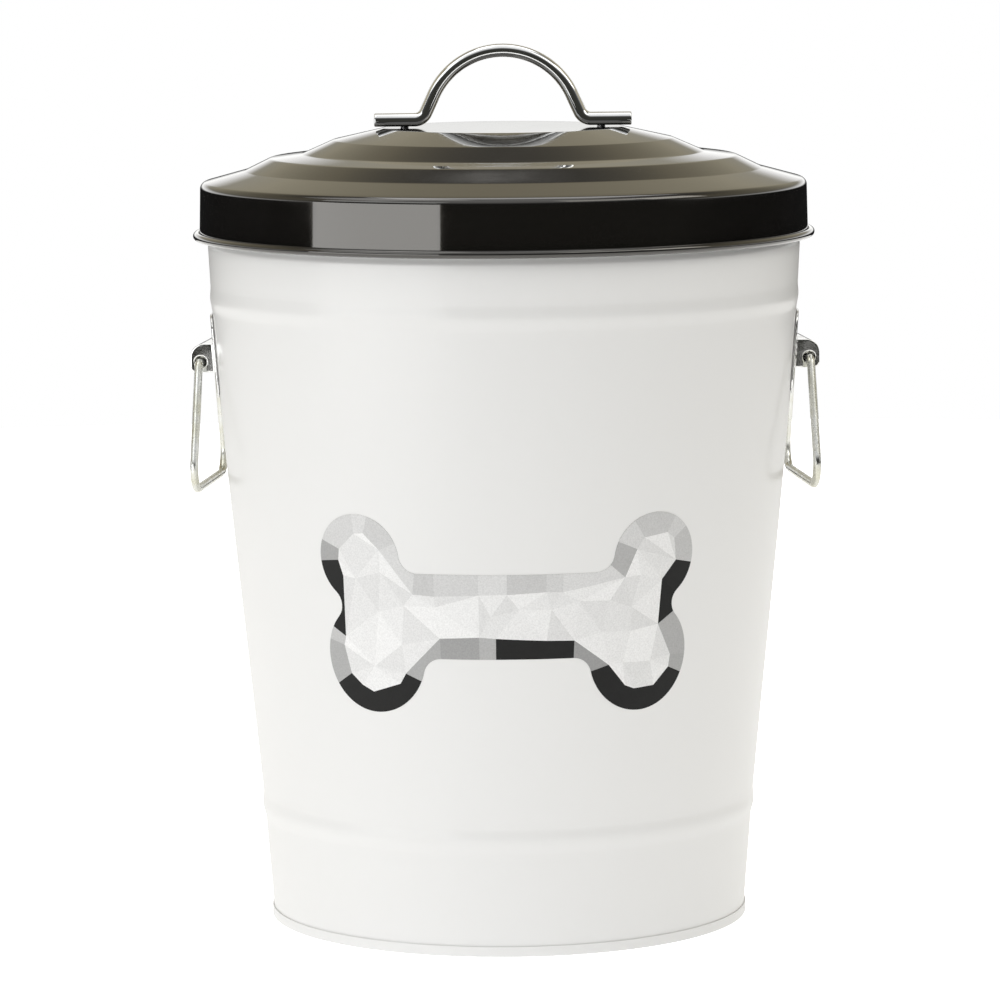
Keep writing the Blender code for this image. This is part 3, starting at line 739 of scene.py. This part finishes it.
def build_handle(handle, sheets):
    """The arched bar, and the screws and washers that hold it from inside the lid."""
    seat = Matrix.Translation((0, 0, HANDLE_BASE))
    bar = swept("handle_bar", handle_line(handle), bar_section(handle), Vector((0, 1, 0)), 0.0006)
    bar.transform(seat)
    bores = []
    for side in (-1, 1):
        hole = bar_outline(SCREW_HOLE, -0.002, handle.standoff + BORE_DEPTH)
        bore = turned("bore", hole, around(SMALL_FACETS))
        bore.transform(Matrix.Translation((side * handle.spacing / 2, 0, LID_TOP)))
        bores.append(bore)
    chrome = bright_plating("handle_chrome", handle.plating, 0.05, 0.1)
    add_piece("bin_lid_handle", carve(bar, bores), chrome, "lid", "lid_handle")
    steel = plain_steel("screw_steel")
    for side, name in ((-1, "left"), (1, "right")):
        place = Matrix.Translation((side * handle.spacing / 2, 0, LID_TOP))
        build_screw(name, place, handle, sheets, steel)
        build_washer(name, place, sheets, steel)


# Washers, then the screws' thread, plain neck under the head, head and crossed slot
WASHER_THICKNESS = 0.0008
WASHER_RADIUS = 0.005
THREAD_RADIUS, THREAD_CORE, THREAD_PITCH = 0.002, 0.00172, 0.0007
SCREW_NECK = 0.0019
HEAD_RADIUS, HEAD_HEIGHT = 0.004, 0.0026
SLOT_REACH, SLOT_HALF_WIDTH, SLOT_DEPTH = 0.0024, 0.0004, 0.0009


def build_screw(name, place, handle, sheets, steel):
    """A pan-head screw pointing up, with a thread's rings and a crossed slot."""
    under = -sheets.sheet - 2 * sheets.gap - WASHER_THICKNESS
    bottom = under - HEAD_HEIGHT
    tip = handle.standoff + SCREW_DEPTH
    core, crest, pitch = THREAD_CORE, THREAD_RADIUS, THREAD_PITCH
    line = [(0.0, tip), (core * 0.7, tip), (core, tip - 0.0004)]
    z = tip - 0.0006
    while z > under + 0.0008:
        line += [(core, z), (crest, z - pitch * 0.35), (crest, z - pitch * 0.5), (core, z - pitch * 0.85)]
        z -= pitch
    line += [(SCREW_NECK, under), (HEAD_RADIUS, under)]
    round_off = HEAD_HEIGHT / 2
    head = arc((HEAD_RADIUS - round_off, under - round_off), round_off, 0, -pi / 2, 8)
    line += [(point.x, point.y) for point in head] + [(0.0, bottom)]
    body = turned("screw", line, around(SMALL_FACETS))
    long, wide = SLOT_REACH, SLOT_HALF_WIDTH
    slots = []
    for turn in (0, pi / 2):
        slot = extruded("slot", [(-long, -wide), (long, -wide), (long, wide), (-long, wide)],
                        SLOT_DEPTH, lambda point, depth: (point[0], point[1], depth + bottom))
        slot.transform(Matrix.Rotation(turn, 4, "Z"))
        slots.append(slot)
    node = f"handle_screw_{name}"
    add_piece(f"bin_{node}", carve(body, slots), steel, "lid", node, place)


def build_washer(name, place, sheets, steel):
    """A stamped washer with eased edges."""
    top = -sheets.sheet - sheets.gap
    ease, inner, outer, bottom = 0.00015, SCREW_HOLE, WASHER_RADIUS, top - WASHER_THICKNESS
    ring = [(inner + ease, top), (outer - ease, top), (outer, top - ease), (outer, bottom + ease)]
    ring += [(outer - ease, bottom), (inner + ease, bottom), (inner, bottom + ease), (inner, top - ease)]
    node = f"handle_washer_{name}"
    add_piece(f"bin_{node}", turned(node, ring, around(64)), steel, "lid", node, place)


def side_places():
    """Each side's name, its pivot's distance from the middle, and the frame there: out, along and up."""
    radius = sqrt(PIVOT.x ** 2 + PIVOT.y ** 2)
    angle = atan2(PIVOT.y, PIVOT.x)
    for side, turn in (("right", angle), ("left", pi - angle)):
        yield side, radius, Matrix.Rotation(turn, 4, "Z") @ Matrix.Translation((radius, 0, PIVOT.z))


def loop_outline(side, inset, back):
    """Side view of the ear's loop as distance out of the pivot and height, inset by the sheet."""
    out, top = side.loop_outside - inset, side.loop_above - inset
    bottom = inset - side.loop_below
    upper = rounded([(back, top), (out, top), (out, 0)], side.loop_top - inset, 16)[:-1]
    lower = rounded([(out, 0), (out, bottom), (back, bottom)], side.loop_bottom - inset, 8)[1:]
    return upper + lower


def wall_cover(bucket, sheets, side, proud):
    """A solid that fills the bucket behind an ear and stands proud of its wall, straight above the ear."""
    straight = PIVOT.z + side.ear_above
    low, high = PIVOT.z - 2 * side.ear_below, straight + 0.007
    lean = (wall_radius(bucket, sheets, straight) - wall_radius(bucket, sheets, PIVOT.z)) / side.ear_above
    line = []
    for z in np.linspace(low, high, 12):
        known = min(float(z), straight)
        line.append((float(wall_radius(bucket, sheets, known) + lean * (z - known)) + proud, float(z)))
    return turned("cover", [(0, low), *line, (0, high)], around(360))


# Size of the even faces that an ear is laid out in
EAR_GRAIN = 0.00024


def out_from_wall(point, depth):
    """Places an outline of along and up, carried out from the wall."""
    return depth, point[0], point[1]


def along_wall(point, depth):
    """Places an outline of out and up, carried along the wall."""
    return point[0], depth, point[1]


def build_ears(side, bucket, sheets):
    """Each ear: a plate on the wall with a hollow loop pressed out of it for the ring's ends."""
    plating = bright_plating("ear_plating", side.plating, 0.09, 0.3)
    for name, radius, place in side_places():
        half = side.ear_width / 2
        corners = [(half, 0), (half, side.ear_above), (-half, side.ear_above)]
        corners += [(-half, -side.ear_below), (half, -side.ear_below), (half, 0)]
        outline = rounded(corners, side.ear_corner, 12)[1:-1]
        plate = extruded("plate", outline, half, out_from_wall)
        home = place.inverted()
        shells = []
        for proud in (sheets.gap + side.ear_sheet, sheets.gap):
            cover = wall_cover(bucket, sheets, side, proud)
            cover.transform(home)
            shells.append(cover)
        end = side.loop_length / 2
        back = -0.0064 - end
        solid = extruded("loop", loop_outline(side, 0, back), end, along_wall)
        hollow_line = loop_outline(side, side.ear_sheet, back)
        hollow = extruded("hollow", hollow_line, end - side.ear_sheet, along_wall)
        hole = bar_outline(side.ring_wire + side.hole_clearance, -0.044, 0.044)
        bore = turned("bore", hole, around(SMALL_FACETS))
        bore.transform(Matrix.Rotation(pi / 2, 4, "X"))
        mesh = carve(plate, shells[:1], "INTERSECT")
        mesh = carve(mesh, [solid], "UNION")
        mesh = carve(mesh, [shells[1], hollow, bore, *rivet_bars(side, bucket, sheets, radius)])
        mesh = soften(mesh, EAR_GRAIN, 5)
        node = f"{name}_ear"
        add_piece(f"bin_{node}", mesh, plating, "bucket", node, place, 60)


# Rivets: radii of hole and shank, the head, the tail with its rounded edge, and its room to the wall
RIVET_HOLE, RIVET_SHANK = 0.0023, 0.002
RIVET_HEAD, RIVET_HEAD_HEIGHT = 0.0034, 0.0018
RIVET_TAIL, RIVET_TAIL_HEIGHT, RIVET_TAIL_EDGE = 0.0032, 0.0012, 0.0004
RIVET_TAIL_ROOM = 0.0003


def rivet_frames(side, bucket, sheets, radius):
    """Each rivet's level and its frame on the wall, its axis square to the wall."""
    for level, rise in (("upper", side.rivet_rise), ("lower", -side.rivet_fall)):
        here = float(wall_radius(bucket, sheets, PIVOT.z + rise))
        lean = (float(wall_radius(bucket, sheets, PIVOT.z + rise + 0.001)) - here) / 0.001
        square = Matrix.Rotation(pi / 2 + atan(lean), 4, "Y")
        yield level, Matrix.Translation((here - radius, 0, rise)) @ square


def rivet_bars(side, bucket, sheets, radius):
    """A bar for each rivet's hole, in the frame of the ring's pivot."""
    for _, square in rivet_frames(side, bucket, sheets, radius):
        bar = turned("rivet_hole", bar_outline(RIVET_HOLE, -0.002, 0.004), around(32))
        bar.transform(square)
        yield bar


def build_rivets(side, bucket, sheets):
    """Snap-head rivets through ear and wall, with a flattened tail inside."""
    plating = bright_plating("rivet_plating", side.plating, 0.14, 0.4)
    for name, radius, place in side_places():
        for level, square in rivet_frames(side, bucket, sheets, radius):
            inside = -sheets.sheet - sheets.gap - RIVET_TAIL_ROOM
            seat = 2 * sheets.gap + side.ear_sheet
            tail, edge = inside - RIVET_TAIL_HEIGHT, RIVET_TAIL_EDGE
            line = [(0.0, tail)]
            for a in np.linspace(0, pi / 2, 5):
                line.append((RIVET_TAIL - edge + edge * sin(a), tail + edge - edge * cos(a)))
            line += [(RIVET_TAIL, inside), (RIVET_SHANK, inside), (RIVET_SHANK, seat), (RIVET_HEAD, seat)]
            for a in np.linspace(0.08, pi / 2 * 0.97, 14):
                line.append((RIVET_HEAD * cos(a), seat + RIVET_HEAD_HEIGHT * sin(a)))
            line.append((0.0, seat + RIVET_HEAD_HEIGHT))
            node = f"{name}_ear_rivet_{level}"
            body = turned(node, line, around(64))
            add_piece(f"bin_{node}", body, plating, "bucket", node, place @ square, 40)


def build_rings(side):
    """The wire rings, each with its two ends bent in through the loop."""
    zinc = zinc_wire("ring_zinc", side.zinc)
    end = side.loop_length / 2 - side.ring_end
    top, bottom = side.ring_top / 2, side.ring_bottom / 2
    low = -side.ring_drop
    for name, _, place in side_places():
        leg = rounded([(end, 0), (top, 0), (bottom, low)], side.ring_top_radius, 14)[:-1]
        corner = rounded([leg[-1], (bottom, low), (0, low)], side.ring_corner, 22)[1:-1]
        half = leg + corner
        flat = half + [Vector((-point[0], point[1])) for point in half[::-1]]
        line = divided([Vector((0, point[0], point[1])) for point in flat], 0.0015)
        mesh = swept("ring", line, circle(side.ring_wire, 32), Vector((1, 0, 0)), 0.0004)
        node = f"{name}_ring"
        add_piece(f"bin_{node}", mesh, zinc, f"ring_{name}", node, place, 45)


# ------------------------------------------------------------------ print
def touching(first, second, radius):
    """Middle of a circle of that radius touching two circles (middle, radius) from outside, on the right."""
    (a, ra), (b, rb) = first, second
    ra, rb = ra + radius, rb + radius
    gap = (b - a).length
    along = (gap * gap + ra * ra - rb * rb) / (2 * gap)
    off = sqrt(ra * ra - along * along)
    run = (b - a) / gap
    side = Vector((-run.y, run.x))
    choices = [a + run * along + side * off, a + run * along - side * off]
    return max(choices, key=lambda point: point.x)


def turn_between(middle, radius, start, end, clockwise, steps):
    """Arc from one point to another round a middle."""
    first = atan2(start.y - middle.y, start.x - middle.x)
    last = atan2(end.y - middle.y, end.x - middle.x)
    turn = (last - first) % (2 * pi)
    return arc(middle, radius, first, turn - 2 * pi if clockwise else turn, steps)


# How far the upper lobes stand beyond the half length, and the lower ones short of it
UPPER_LOBE_OUT, LOWER_LOBE_IN = 0.002, 0.004


def bone_outline(marks):
    """The right half of a plain bone from the middle of its top edge to the middle of its bottom edge."""
    upper_place = (marks.half_length + UPPER_LOBE_OUT, marks.lobe_spread - marks.upper_lobe)
    lower_place = (marks.half_length - LOWER_LOBE_IN, marks.lower_lobe - marks.lobe_spread)
    upper, lower = (Vector(upper_place), marks.upper_lobe), (Vector(lower_place), marks.lower_lobe)
    line = [Vector((0, marks.shaft))]
    fillets = []
    for (middle, radius), level in ((upper, 1), (lower, -1)):
        rise = abs(middle.y) - marks.shaft - marks.fillet
        reach = radius + marks.fillet
        x = middle.x - sqrt(reach * reach - rise * rise)
        fillets.append(Vector((x, level * (marks.shaft + marks.fillet))))
    joins = []
    for fillet, (middle, radius) in zip(fillets, (upper, lower)):
        joins.append(fillet.lerp(middle, marks.fillet / (marks.fillet + radius)))
    line += turn_between(fillets[0], marks.fillet, Vector((fillets[0].x, marks.shaft)), joins[0], False, 10)
    dent = touching(upper, lower, marks.notch)
    into = dent.lerp(upper[0], marks.notch / (marks.notch + upper[1]))
    away = dent.lerp(lower[0], marks.notch / (marks.notch + lower[1]))
    line += turn_between(upper[0], upper[1], joins[0], into, True, 40)[1:]
    line += turn_between(dent, marks.notch, into, away, False, 8)[1:]
    line += turn_between(lower[0], lower[1], away, joins[1], True, 44)[1:]
    end = Vector((fillets[1].x, -marks.shaft))
    line += turn_between(fillets[1], marks.fillet, joins[1], end, False, 10)[1:]
    return line + [Vector((0, -marks.shaft))]


def inner_ring(outline, border, corners):
    """A many-sided ring inside the outline: its corners, and where on the outline each one looks."""
    count = len(outline)
    run = [0.0]
    for i in range(count):
        run.append(run[-1] + (outline[(i + 1) % count] - outline[i]).length)
    picks, ring = [], []
    for number in range(corners):
        want = (number + 0.26 * sin(2.4 * number)) * run[-1] / corners
        picks.append(min(range(count), key=lambda i: abs(run[i] - max(want, 0))))
    for number, i in enumerate(picks):
        tangent = (outline[(i + 1) % count] - outline[i - 1]).normalized()
        ring.append(outline[i] + Vector((tangent.y, -tangent.x)) * border * (1 + 0.12 * sin(5.1 * number)))
    return ring, picks


def border_tone(middle, out, number, marks):
    """A border facet's grey: black in the notches and under the lobes, pale on top."""
    light = 0.03 * (number * 7 % 5 - 2)
    lobe = abs(middle.x) > 0.6 * marks.half_length
    if lobe and abs(middle.y) < 0.35 * marks.shaft:
        return 0.012
    if lobe and out.y < -0.25:
        return 0.36 if number % 5 == 1 else 0.014
    if not lobe and out.y < -0.8:
        return 0.014 if middle.x > -0.1 * marks.half_length else 0.42 + light
    if out.y > 0.6:
        return 0.64 + light
    return 0.44 + light + 0.14 * out.y


def inside(point, ring, room):
    """Whether a point lies inside a ring with some room to its edge."""
    crossings = False
    for a, b in zip(ring, ring[1:] + ring[:1]):
        if (a.y > point.y) != (b.y > point.y) and point.x < a.x + (point.y - a.y) * (b.x - a.x) / (b.y - a.y):
            crossings = not crossings
        along = max(0.0, min(1.0, (point - a).dot(b - a) / (b - a).length_squared))
        if (a.lerp(b, along) - point).length < room:
            return False
    return crossings


# Steps along and up, as shares of the whole, that fill a box evenly without rows
EVEN_STEPS = (0.7549, 0.5698)
# Inner facets' corners: room to the border and to each other. Then the number of facets in the border
FACET_ROOM, FACET_SPACING = 0.0045, 0.011
BORDER_FACETS = 38


def facet_corners(marks, ring):
    """Corners of the inner facets, spread evenly but not in rows."""
    reach = marks.half_length + marks.lower_lobe
    found = []
    for number in range(1, 120):
        along, up = (number * step % 1 * 2 - 1 for step in EVEN_STEPS)
        point = Vector((along * reach, up * marks.lobe_spread))
        if inside(point, ring, FACET_ROOM) and all((point - other).length > FACET_SPACING for other in found):
            found.append(point)
    return found


def build_print(marks, bucket, sheets):
    """A bone cut into flat facets, laid on the front of the wall as a film of ink."""
    right = divided(bone_outline(marks), 0.0025)
    outline = right + [Vector((-point.x, point.y)) for point in right[-2:0:-1]]
    ring, picks = inner_ring(outline, marks.border, BORDER_FACETS)
    count = len(outline)
    shape = bmesh.new()
    tone = shape.faces.layers.float.new("tone")
    rim = [shape.verts.new((point.x, point.y, 0)) for point in outline]
    inner = [shape.verts.new((point.x, point.y, 0)) for point in ring]
    for number, start in enumerate(picks):
        following = (number + 1) % len(picks)
        stop = picks[following] if following else count
        span = [rim[i % count] for i in range(start, stop + 1)]
        face = shape.faces.new([*span, inner[following], inner[number]])
        outside = outline[(start + stop) // 2 % count]
        out = outside - (ring[number] + ring[following]) / 2
        face[tone] = border_tone(outside, out.normalized(), number, marks)
    corners = facet_corners(marks, ring)
    edges = [(i, (i + 1) % len(ring)) for i in range(len(ring))]
    points, _, facets, *_ = delaunay_2d_cdt(ring + corners, edges, [], 1, 1e-6)
    known = inner + [shape.verts.new((point.x, point.y, 0)) for point in points[len(ring):]]
    for number, facet in enumerate(facets):
        face = shape.faces.new([known[i] for i in facet])
        face[tone] = 0.74 + 0.022 * (number * 5 % 7)
    reach = max(point.x for point in outline)
    steps = int(2 * reach / 0.0022)
    cuts = [((-reach + 2 * reach * i / steps, 0, 0), (1, 0, 0)) for i in range(1, steps)]
    heights = np.linspace(-marks.lobe_spread, marks.lobe_spread, 14)[1:-1]
    cuts += [((0, height, 0), (0, 1, 0)) for height in heights]
    for place, square in cuts:
        geometry = shape.verts[:] + shape.edges[:] + shape.faces[:]
        bmesh.ops.bisect_plane(shape, geom=geometry, plane_co=place, plane_no=square, dist=1e-7)
    lay_on_wall(shape, marks, bucket, sheets)
    colour = shape.loops.layers.float_color.new("ink")
    for face in shape.faces:
        value = face[tone]
        for loop in face.loops:
            loop[colour] = (value, value, value, 1)
    mesh = bpy.data.meshes.new("print")
    shape.to_mesh(mesh)
    shape.free()
    add_piece("bin_bone_print", mesh, printed_ink("bone_ink"), "bucket")


def lay_on_wall(shape, marks, bucket, sheets):
    """Wraps a flat shape round the front of the wall and gives it the thickness of the ink."""
    flat = {vert: (vert.co.x, vert.co.y) for vert in shape.verts}
    bmesh.ops.recalc_face_normals(shape, faces=shape.faces)
    top = bmesh.ops.duplicate(shape, geom=shape.verts[:] + shape.edges[:] + shape.faces[:])
    twins = {old: new for old, new in top["vert_map"].items() if isinstance(old, bmesh.types.BMVert)}
    mates = {old: twins[old] for old in flat}
    border = [tuple(edge.verts) for edge in shape.edges if edge.is_boundary]
    sides = [(first, second) for first, second in border if first in flat and second in flat]
    for first, second in sides:
        shape.faces.new((first, second, mates[second], mates[first]))
    middle = float(wall_radius(bucket, sheets, marks.height))
    for vert, (along, up) in flat.items():
        z = marks.height + up
        radius = float(wall_radius(bucket, sheets, z))
        angle = -pi / 2 + along / middle
        for corner, proud in ((vert, marks.ink), (mates[vert], 0.00001)):
            corner.co = ((radius + proud) * cos(angle), (radius + proud) * sin(angle), z)
    bmesh.ops.recalc_face_normals(shape, faces=shape.faces)


# ------------------------------------------------------------------ stage
def look_from(stage):
    """Matrix of the camera from its place and its three angles."""
    down, turn, tilt = stage.pitch, stage.yaw, stage.roll
    forward = Vector((sin(turn) * cos(down), cos(turn) * cos(down), -sin(down)))
    right = Vector((cos(turn), -sin(turn), 0))
    up = right.cross(forward)
    side = right * cos(tilt) + up * sin(tilt)
    top = up * cos(tilt) - right * sin(tilt)
    turned_to = Matrix((side, top, -forward)).transposed().to_4x4()
    return Matrix.Translation(Vector(stage.camera_place)) @ turned_to


def add_panel_light(name, azimuth, height, away, width, tall, brightness, colour, aim):
    """A soft rectangular lamp: azimuth from the front towards the right, aim is the height it points at."""
    turn = radians(azimuth)
    place = Vector((away * sin(turn), -away * cos(turn), height))
    lamp = bpy.data.lights.new(name, "AREA")
    lamp.shape, lamp.size, lamp.size_y = "RECTANGLE", width, tall
    lamp.energy, lamp.color = brightness * pi * width * tall, colour
    made = bpy.data.objects.new(name, lamp)
    made.location = place
    made.rotation_mode = "QUATERNION"
    made.rotation_quaternion = (Vector((0, 0, aim)) - place).to_track_quat("-Z", "Y")
    bpy.context.scene.collection.objects.link(made)


# The room's colour by height: sine of the angle above the horizon, then the colour
BACK_OF_ROOM = (
    (0.0, (0.01, 0.01, 0.01)),
    (0.07, (1.2, 1.2, 1.18)),
    (0.14, (0.88, 0.87, 0.86)),
    (0.22, (0.36, 0.34, 0.28)),
    (0.34, (0.44, 0.4, 0.3)),
    (0.48, (0.42, 0.38, 0.28)),
    (0.62, (0.36, 0.32, 0.23)),
    (0.78, (0.16, 0.15, 0.13)),
    (1.0, (0.6, 0.6, 0.6)),
)
FRONT_OF_ROOM = (
    (0.0, (0.035, 0.035, 0.03)),
    (0.25, (0.05, 0.05, 0.05)),
    (0.6, (0.8, 0.8, 0.8)),
    (1.0, (0.8, 0.8, 0.8)),
)


def studio_sky():
    """Pale surroundings to look at, and a softly graded room for the bin to mirror."""
    world = bpy.data.worlds.new("studio")
    world.use_nodes = True
    tree = world.node_tree
    tree.nodes.clear()
    out = tree.nodes.new("ShaderNodeOutputWorld")
    room, plain = tree.nodes.new("ShaderNodeBackground"), tree.nodes.new("ShaderNodeBackground")
    plain.inputs["Color"].default_value = (1, 1, 1, 1)
    place = tree.nodes.new("ShaderNodeTexCoord")
    parts = tree.nodes.new("ShaderNodeSeparateXYZ")
    tree.links.new(place.outputs["Generated"], parts.inputs[0])
    back = ramp(tree, parts.outputs["Z"], BACK_OF_ROOM)
    front = ramp(tree, parts.outputs["Z"], FRONT_OF_ROOM)
    side = tree.nodes.new("ShaderNodeMapRange")
    side.interpolation_type = "SMOOTHSTEP"
    side.inputs["From Min"].default_value, side.inputs["From Max"].default_value = -0.55, 0.1
    tree.links.new(parts.outputs["Y"], side.inputs["Value"])
    mix = tree.nodes.new("ShaderNodeMix")
    mix.data_type = "RGBA"
    tree.links.new(side.outputs["Result"], mix.inputs["Factor"])
    tree.links.new(front, mix.inputs["A"])
    tree.links.new(back, mix.inputs["B"])
    tree.links.new(mix.outputs["Result"], room.inputs["Color"])
    room.inputs["Strength"].default_value = 1.0
    path = tree.nodes.new("ShaderNodeLightPath")
    choose = tree.nodes.new("ShaderNodeMixShader")
    tree.links.new(path.outputs["Is Camera Ray"], choose.inputs["Fac"])
    tree.links.new(room.outputs["Background"], choose.inputs[1])
    tree.links.new(plain.outputs["Background"], choose.inputs[2])
    tree.links.new(choose.outputs["Shader"], out.inputs["Surface"])
    bpy.context.scene.world = world


def ramp(tree, value, stops):
    made = tree.nodes.new("ShaderNodeValToRGB")
    line = made.color_ramp
    while len(line.elements) < len(stops):
        line.elements.new(0.5)
    for element, (place, colour) in zip(line.elements, stops):
        element.position, element.color = place, (*colour, 1)
    tree.links.new(value, made.inputs["Fac"])
    return made.outputs["Color"]


def floor_finish(colour):
    made, tree, shader = new_material("floor_paper", colour, 0.6)
    tree.links.new(spread(tree, grain(tree, 3, 2), 0.55, 0.65), shader.inputs["Roughness"])
    shader.inputs["Emission Color"].default_value = (1, 1, 1, 1)
    path, glow = tree.nodes.new("ShaderNodeLightPath"), tree.nodes.new("ShaderNodeMath")
    glow.operation = "MULTIPLY_ADD"
    glow.inputs[1].default_value, glow.inputs[2].default_value = 0.8, 0.45
    tree.links.new(path.outputs["Is Camera Ray"], glow.inputs[0])
    tree.links.new(glow.outputs[0], shader.inputs["Emission Strength"])
    return made


# Name, azimuth from the front in degrees, height, distance, width, height, brightness, colour and aim
LAMPS = (
    ("window", -48, 0.3, 1.9, 1.8, 0.5, 2.7, (1, 1, 1), 0.3),
    ("window_high", -49, 1.35, 1.7, 1.6, 0.6, 1.15, (0.97, 1, 1), 0.3),
    ("high_right", 40, 1.7, 1.6, 0.9, 0.7, 1.3, (1, 0.98, 0.9), 0.3),
    ("side_right", 72, 1.6, 1.7, 0.9, 0.8, 2.3, (1, 0.98, 0.92), 0.25),
    ("over_front", 0, 2.2, 0.9, 1.7, 0.8, 0.25, (1, 1, 1), 0.3),
    ("over_left", -80, 2.1, 0.9, 1.2, 1.2, 1.2, (1, 1, 1), 0.3),
    ("overhead", 170, 2.3, 0.5, 1.6, 1.2, 1.5, (1, 1, 1), 0.3),
)
FLOOR_THICKNESS = 0.004


def build_stage(stage):
    """Pale floor, soft lamps, the room and the camera."""
    disc = turned("floor", bar_outline(stage.floor_radius, -FLOOR_THICKNESS, 0), around(256))
    disc.materials.append(floor_finish(stage.floor_paint))
    floor = bpy.data.objects.new("studio_floor", disc)
    bpy.context.scene.collection.objects.link(floor)
    for lamp in LAMPS:
        add_panel_light(*lamp)
    studio_sky()
    lens = bpy.data.cameras.new("camera")
    lens.lens, lens.sensor_width, lens.clip_start, lens.clip_end = stage.lens, 36, 0.1, 60
    camera = bpy.data.objects.new("camera", lens)
    camera.matrix_world = look_from(stage)
    bpy.context.scene.collection.objects.link(camera)
    bpy.context.scene.camera = camera
    bpy.context.scene.view_settings.view_transform = "Standard"


# ------------------------------------------------------------------ tools in the sidebar
def settings():
    """All the settings of the bin, by group."""
    scene = bpy.context.scene
    return {name: getattr(scene, f"pet_bin_{name}") for name in GROUPS}


class PETBIN_OT_bucket(bpy.types.Operator):
    """Builds the bucket: its wall, floor and rim wire"""

    bl_idname = "pet_bin.bucket"
    bl_label = "Bucket"

    def execute(self, context):
        have = settings()
        build_bucket(have["bucket"], have["sheets"], have["sides"])
        return {"FINISHED"}


class PETBIN_OT_lid(bpy.types.Operator):
    """Builds the stepped lid and the wire in its edge"""

    bl_idname = "pet_bin.lid"
    bl_label = "Lid"

    def execute(self, context):
        have = settings()
        build_lid(have["lid"], have["bucket"], have["sheets"], have["handle"])
        return {"FINISHED"}


class PETBIN_OT_handle(bpy.types.Operator):
    """Builds the lid's handle with its screws and washers"""

    bl_idname = "pet_bin.handle"
    bl_label = "Lid Handle"

    def execute(self, context):
        have = settings()
        build_handle(have["handle"], have["sheets"])
        return {"FINISHED"}


class PETBIN_OT_ears(bpy.types.Operator):
    """Builds the two ears"""

    bl_idname = "pet_bin.ears"
    bl_label = "Ears"

    def execute(self, context):
        have = settings()
        build_ears(have["sides"], have["bucket"], have["sheets"])
        return {"FINISHED"}


class PETBIN_OT_rivets(bpy.types.Operator):
    """Builds the four rivets that hold the ears"""

    bl_idname = "pet_bin.rivets"
    bl_label = "Rivets"

    def execute(self, context):
        have = settings()
        build_rivets(have["sides"], have["bucket"], have["sheets"])
        return {"FINISHED"}


class PETBIN_OT_rings(bpy.types.Operator):
    """Builds the two wire rings"""

    bl_idname = "pet_bin.rings"
    bl_label = "Rings"

    def execute(self, context):
        build_rings(settings()["sides"])
        return {"FINISHED"}


class PETBIN_OT_print(bpy.types.Operator):
    """Lays the printed bone on the front of the bucket"""

    bl_idname = "pet_bin.bone_print"
    bl_label = "Bone Print"

    def execute(self, context):
        have = settings()
        build_print(have["marks"], have["bucket"], have["sheets"])
        return {"FINISHED"}


class PETBIN_OT_stage(bpy.types.Operator):
    """Sets up the floor, the lamps and the camera"""

    bl_idname = "pet_bin.stage"
    bl_label = "Studio"

    def execute(self, context):
        build_stage(settings()["stage"])
        return {"FINISHED"}


STEPS = (
    PETBIN_OT_stage, PETBIN_OT_bucket, PETBIN_OT_lid, PETBIN_OT_handle, PETBIN_OT_ears, PETBIN_OT_rivets,
    PETBIN_OT_rings, PETBIN_OT_print,
)

GROUPS = {
    "sheets": BinSheetSettings,
    "bucket": BinBucketSettings,
    "lid": BinLidSettings,
    "handle": BinHandleSettings,
    "sides": BinSideSettings,
    "marks": BinPrintSettings,
    "stage": BinStageSettings,
}


class PETBIN_PT_sidebar(bpy.types.Panel):
    """The bin's pieces and their sizes"""

    bl_idname = "PETBIN_PT_sidebar"
    bl_label = "Pet Food Bin"
    bl_space_type = "VIEW_3D"
    bl_region_type = "UI"
    bl_category = "Pet Bin"

    def draw(self, context):
        layout = self.layout
        for step in STEPS:
            layout.operator(step.bl_idname)
        for group in settings().values():
            box = layout.box()
            for name in group.bl_rna.properties.keys():
                if name not in {"rna_type", "name"}:
                    box.prop(group, name)


def register():
    for made in (*GROUPS.values(), *STEPS, PETBIN_PT_sidebar):
        bpy.utils.register_class(made)
    for name, group in GROUPS.items():
        setattr(bpy.types.Scene, f"pet_bin_{name}", PointerProperty(type=group))


def unregister():
    for name in GROUPS:
        delattr(bpy.types.Scene, f"pet_bin_{name}")
    for made in (PETBIN_PT_sidebar, *reversed(STEPS), *reversed(GROUPS.values())):
        bpy.utils.unregister_class(made)


def main():
    register()
    for step in STEPS:
        group, name = step.bl_idname.split(".")
        getattr(getattr(bpy.ops, group), name)()


if __name__ == "__main__":
    main()
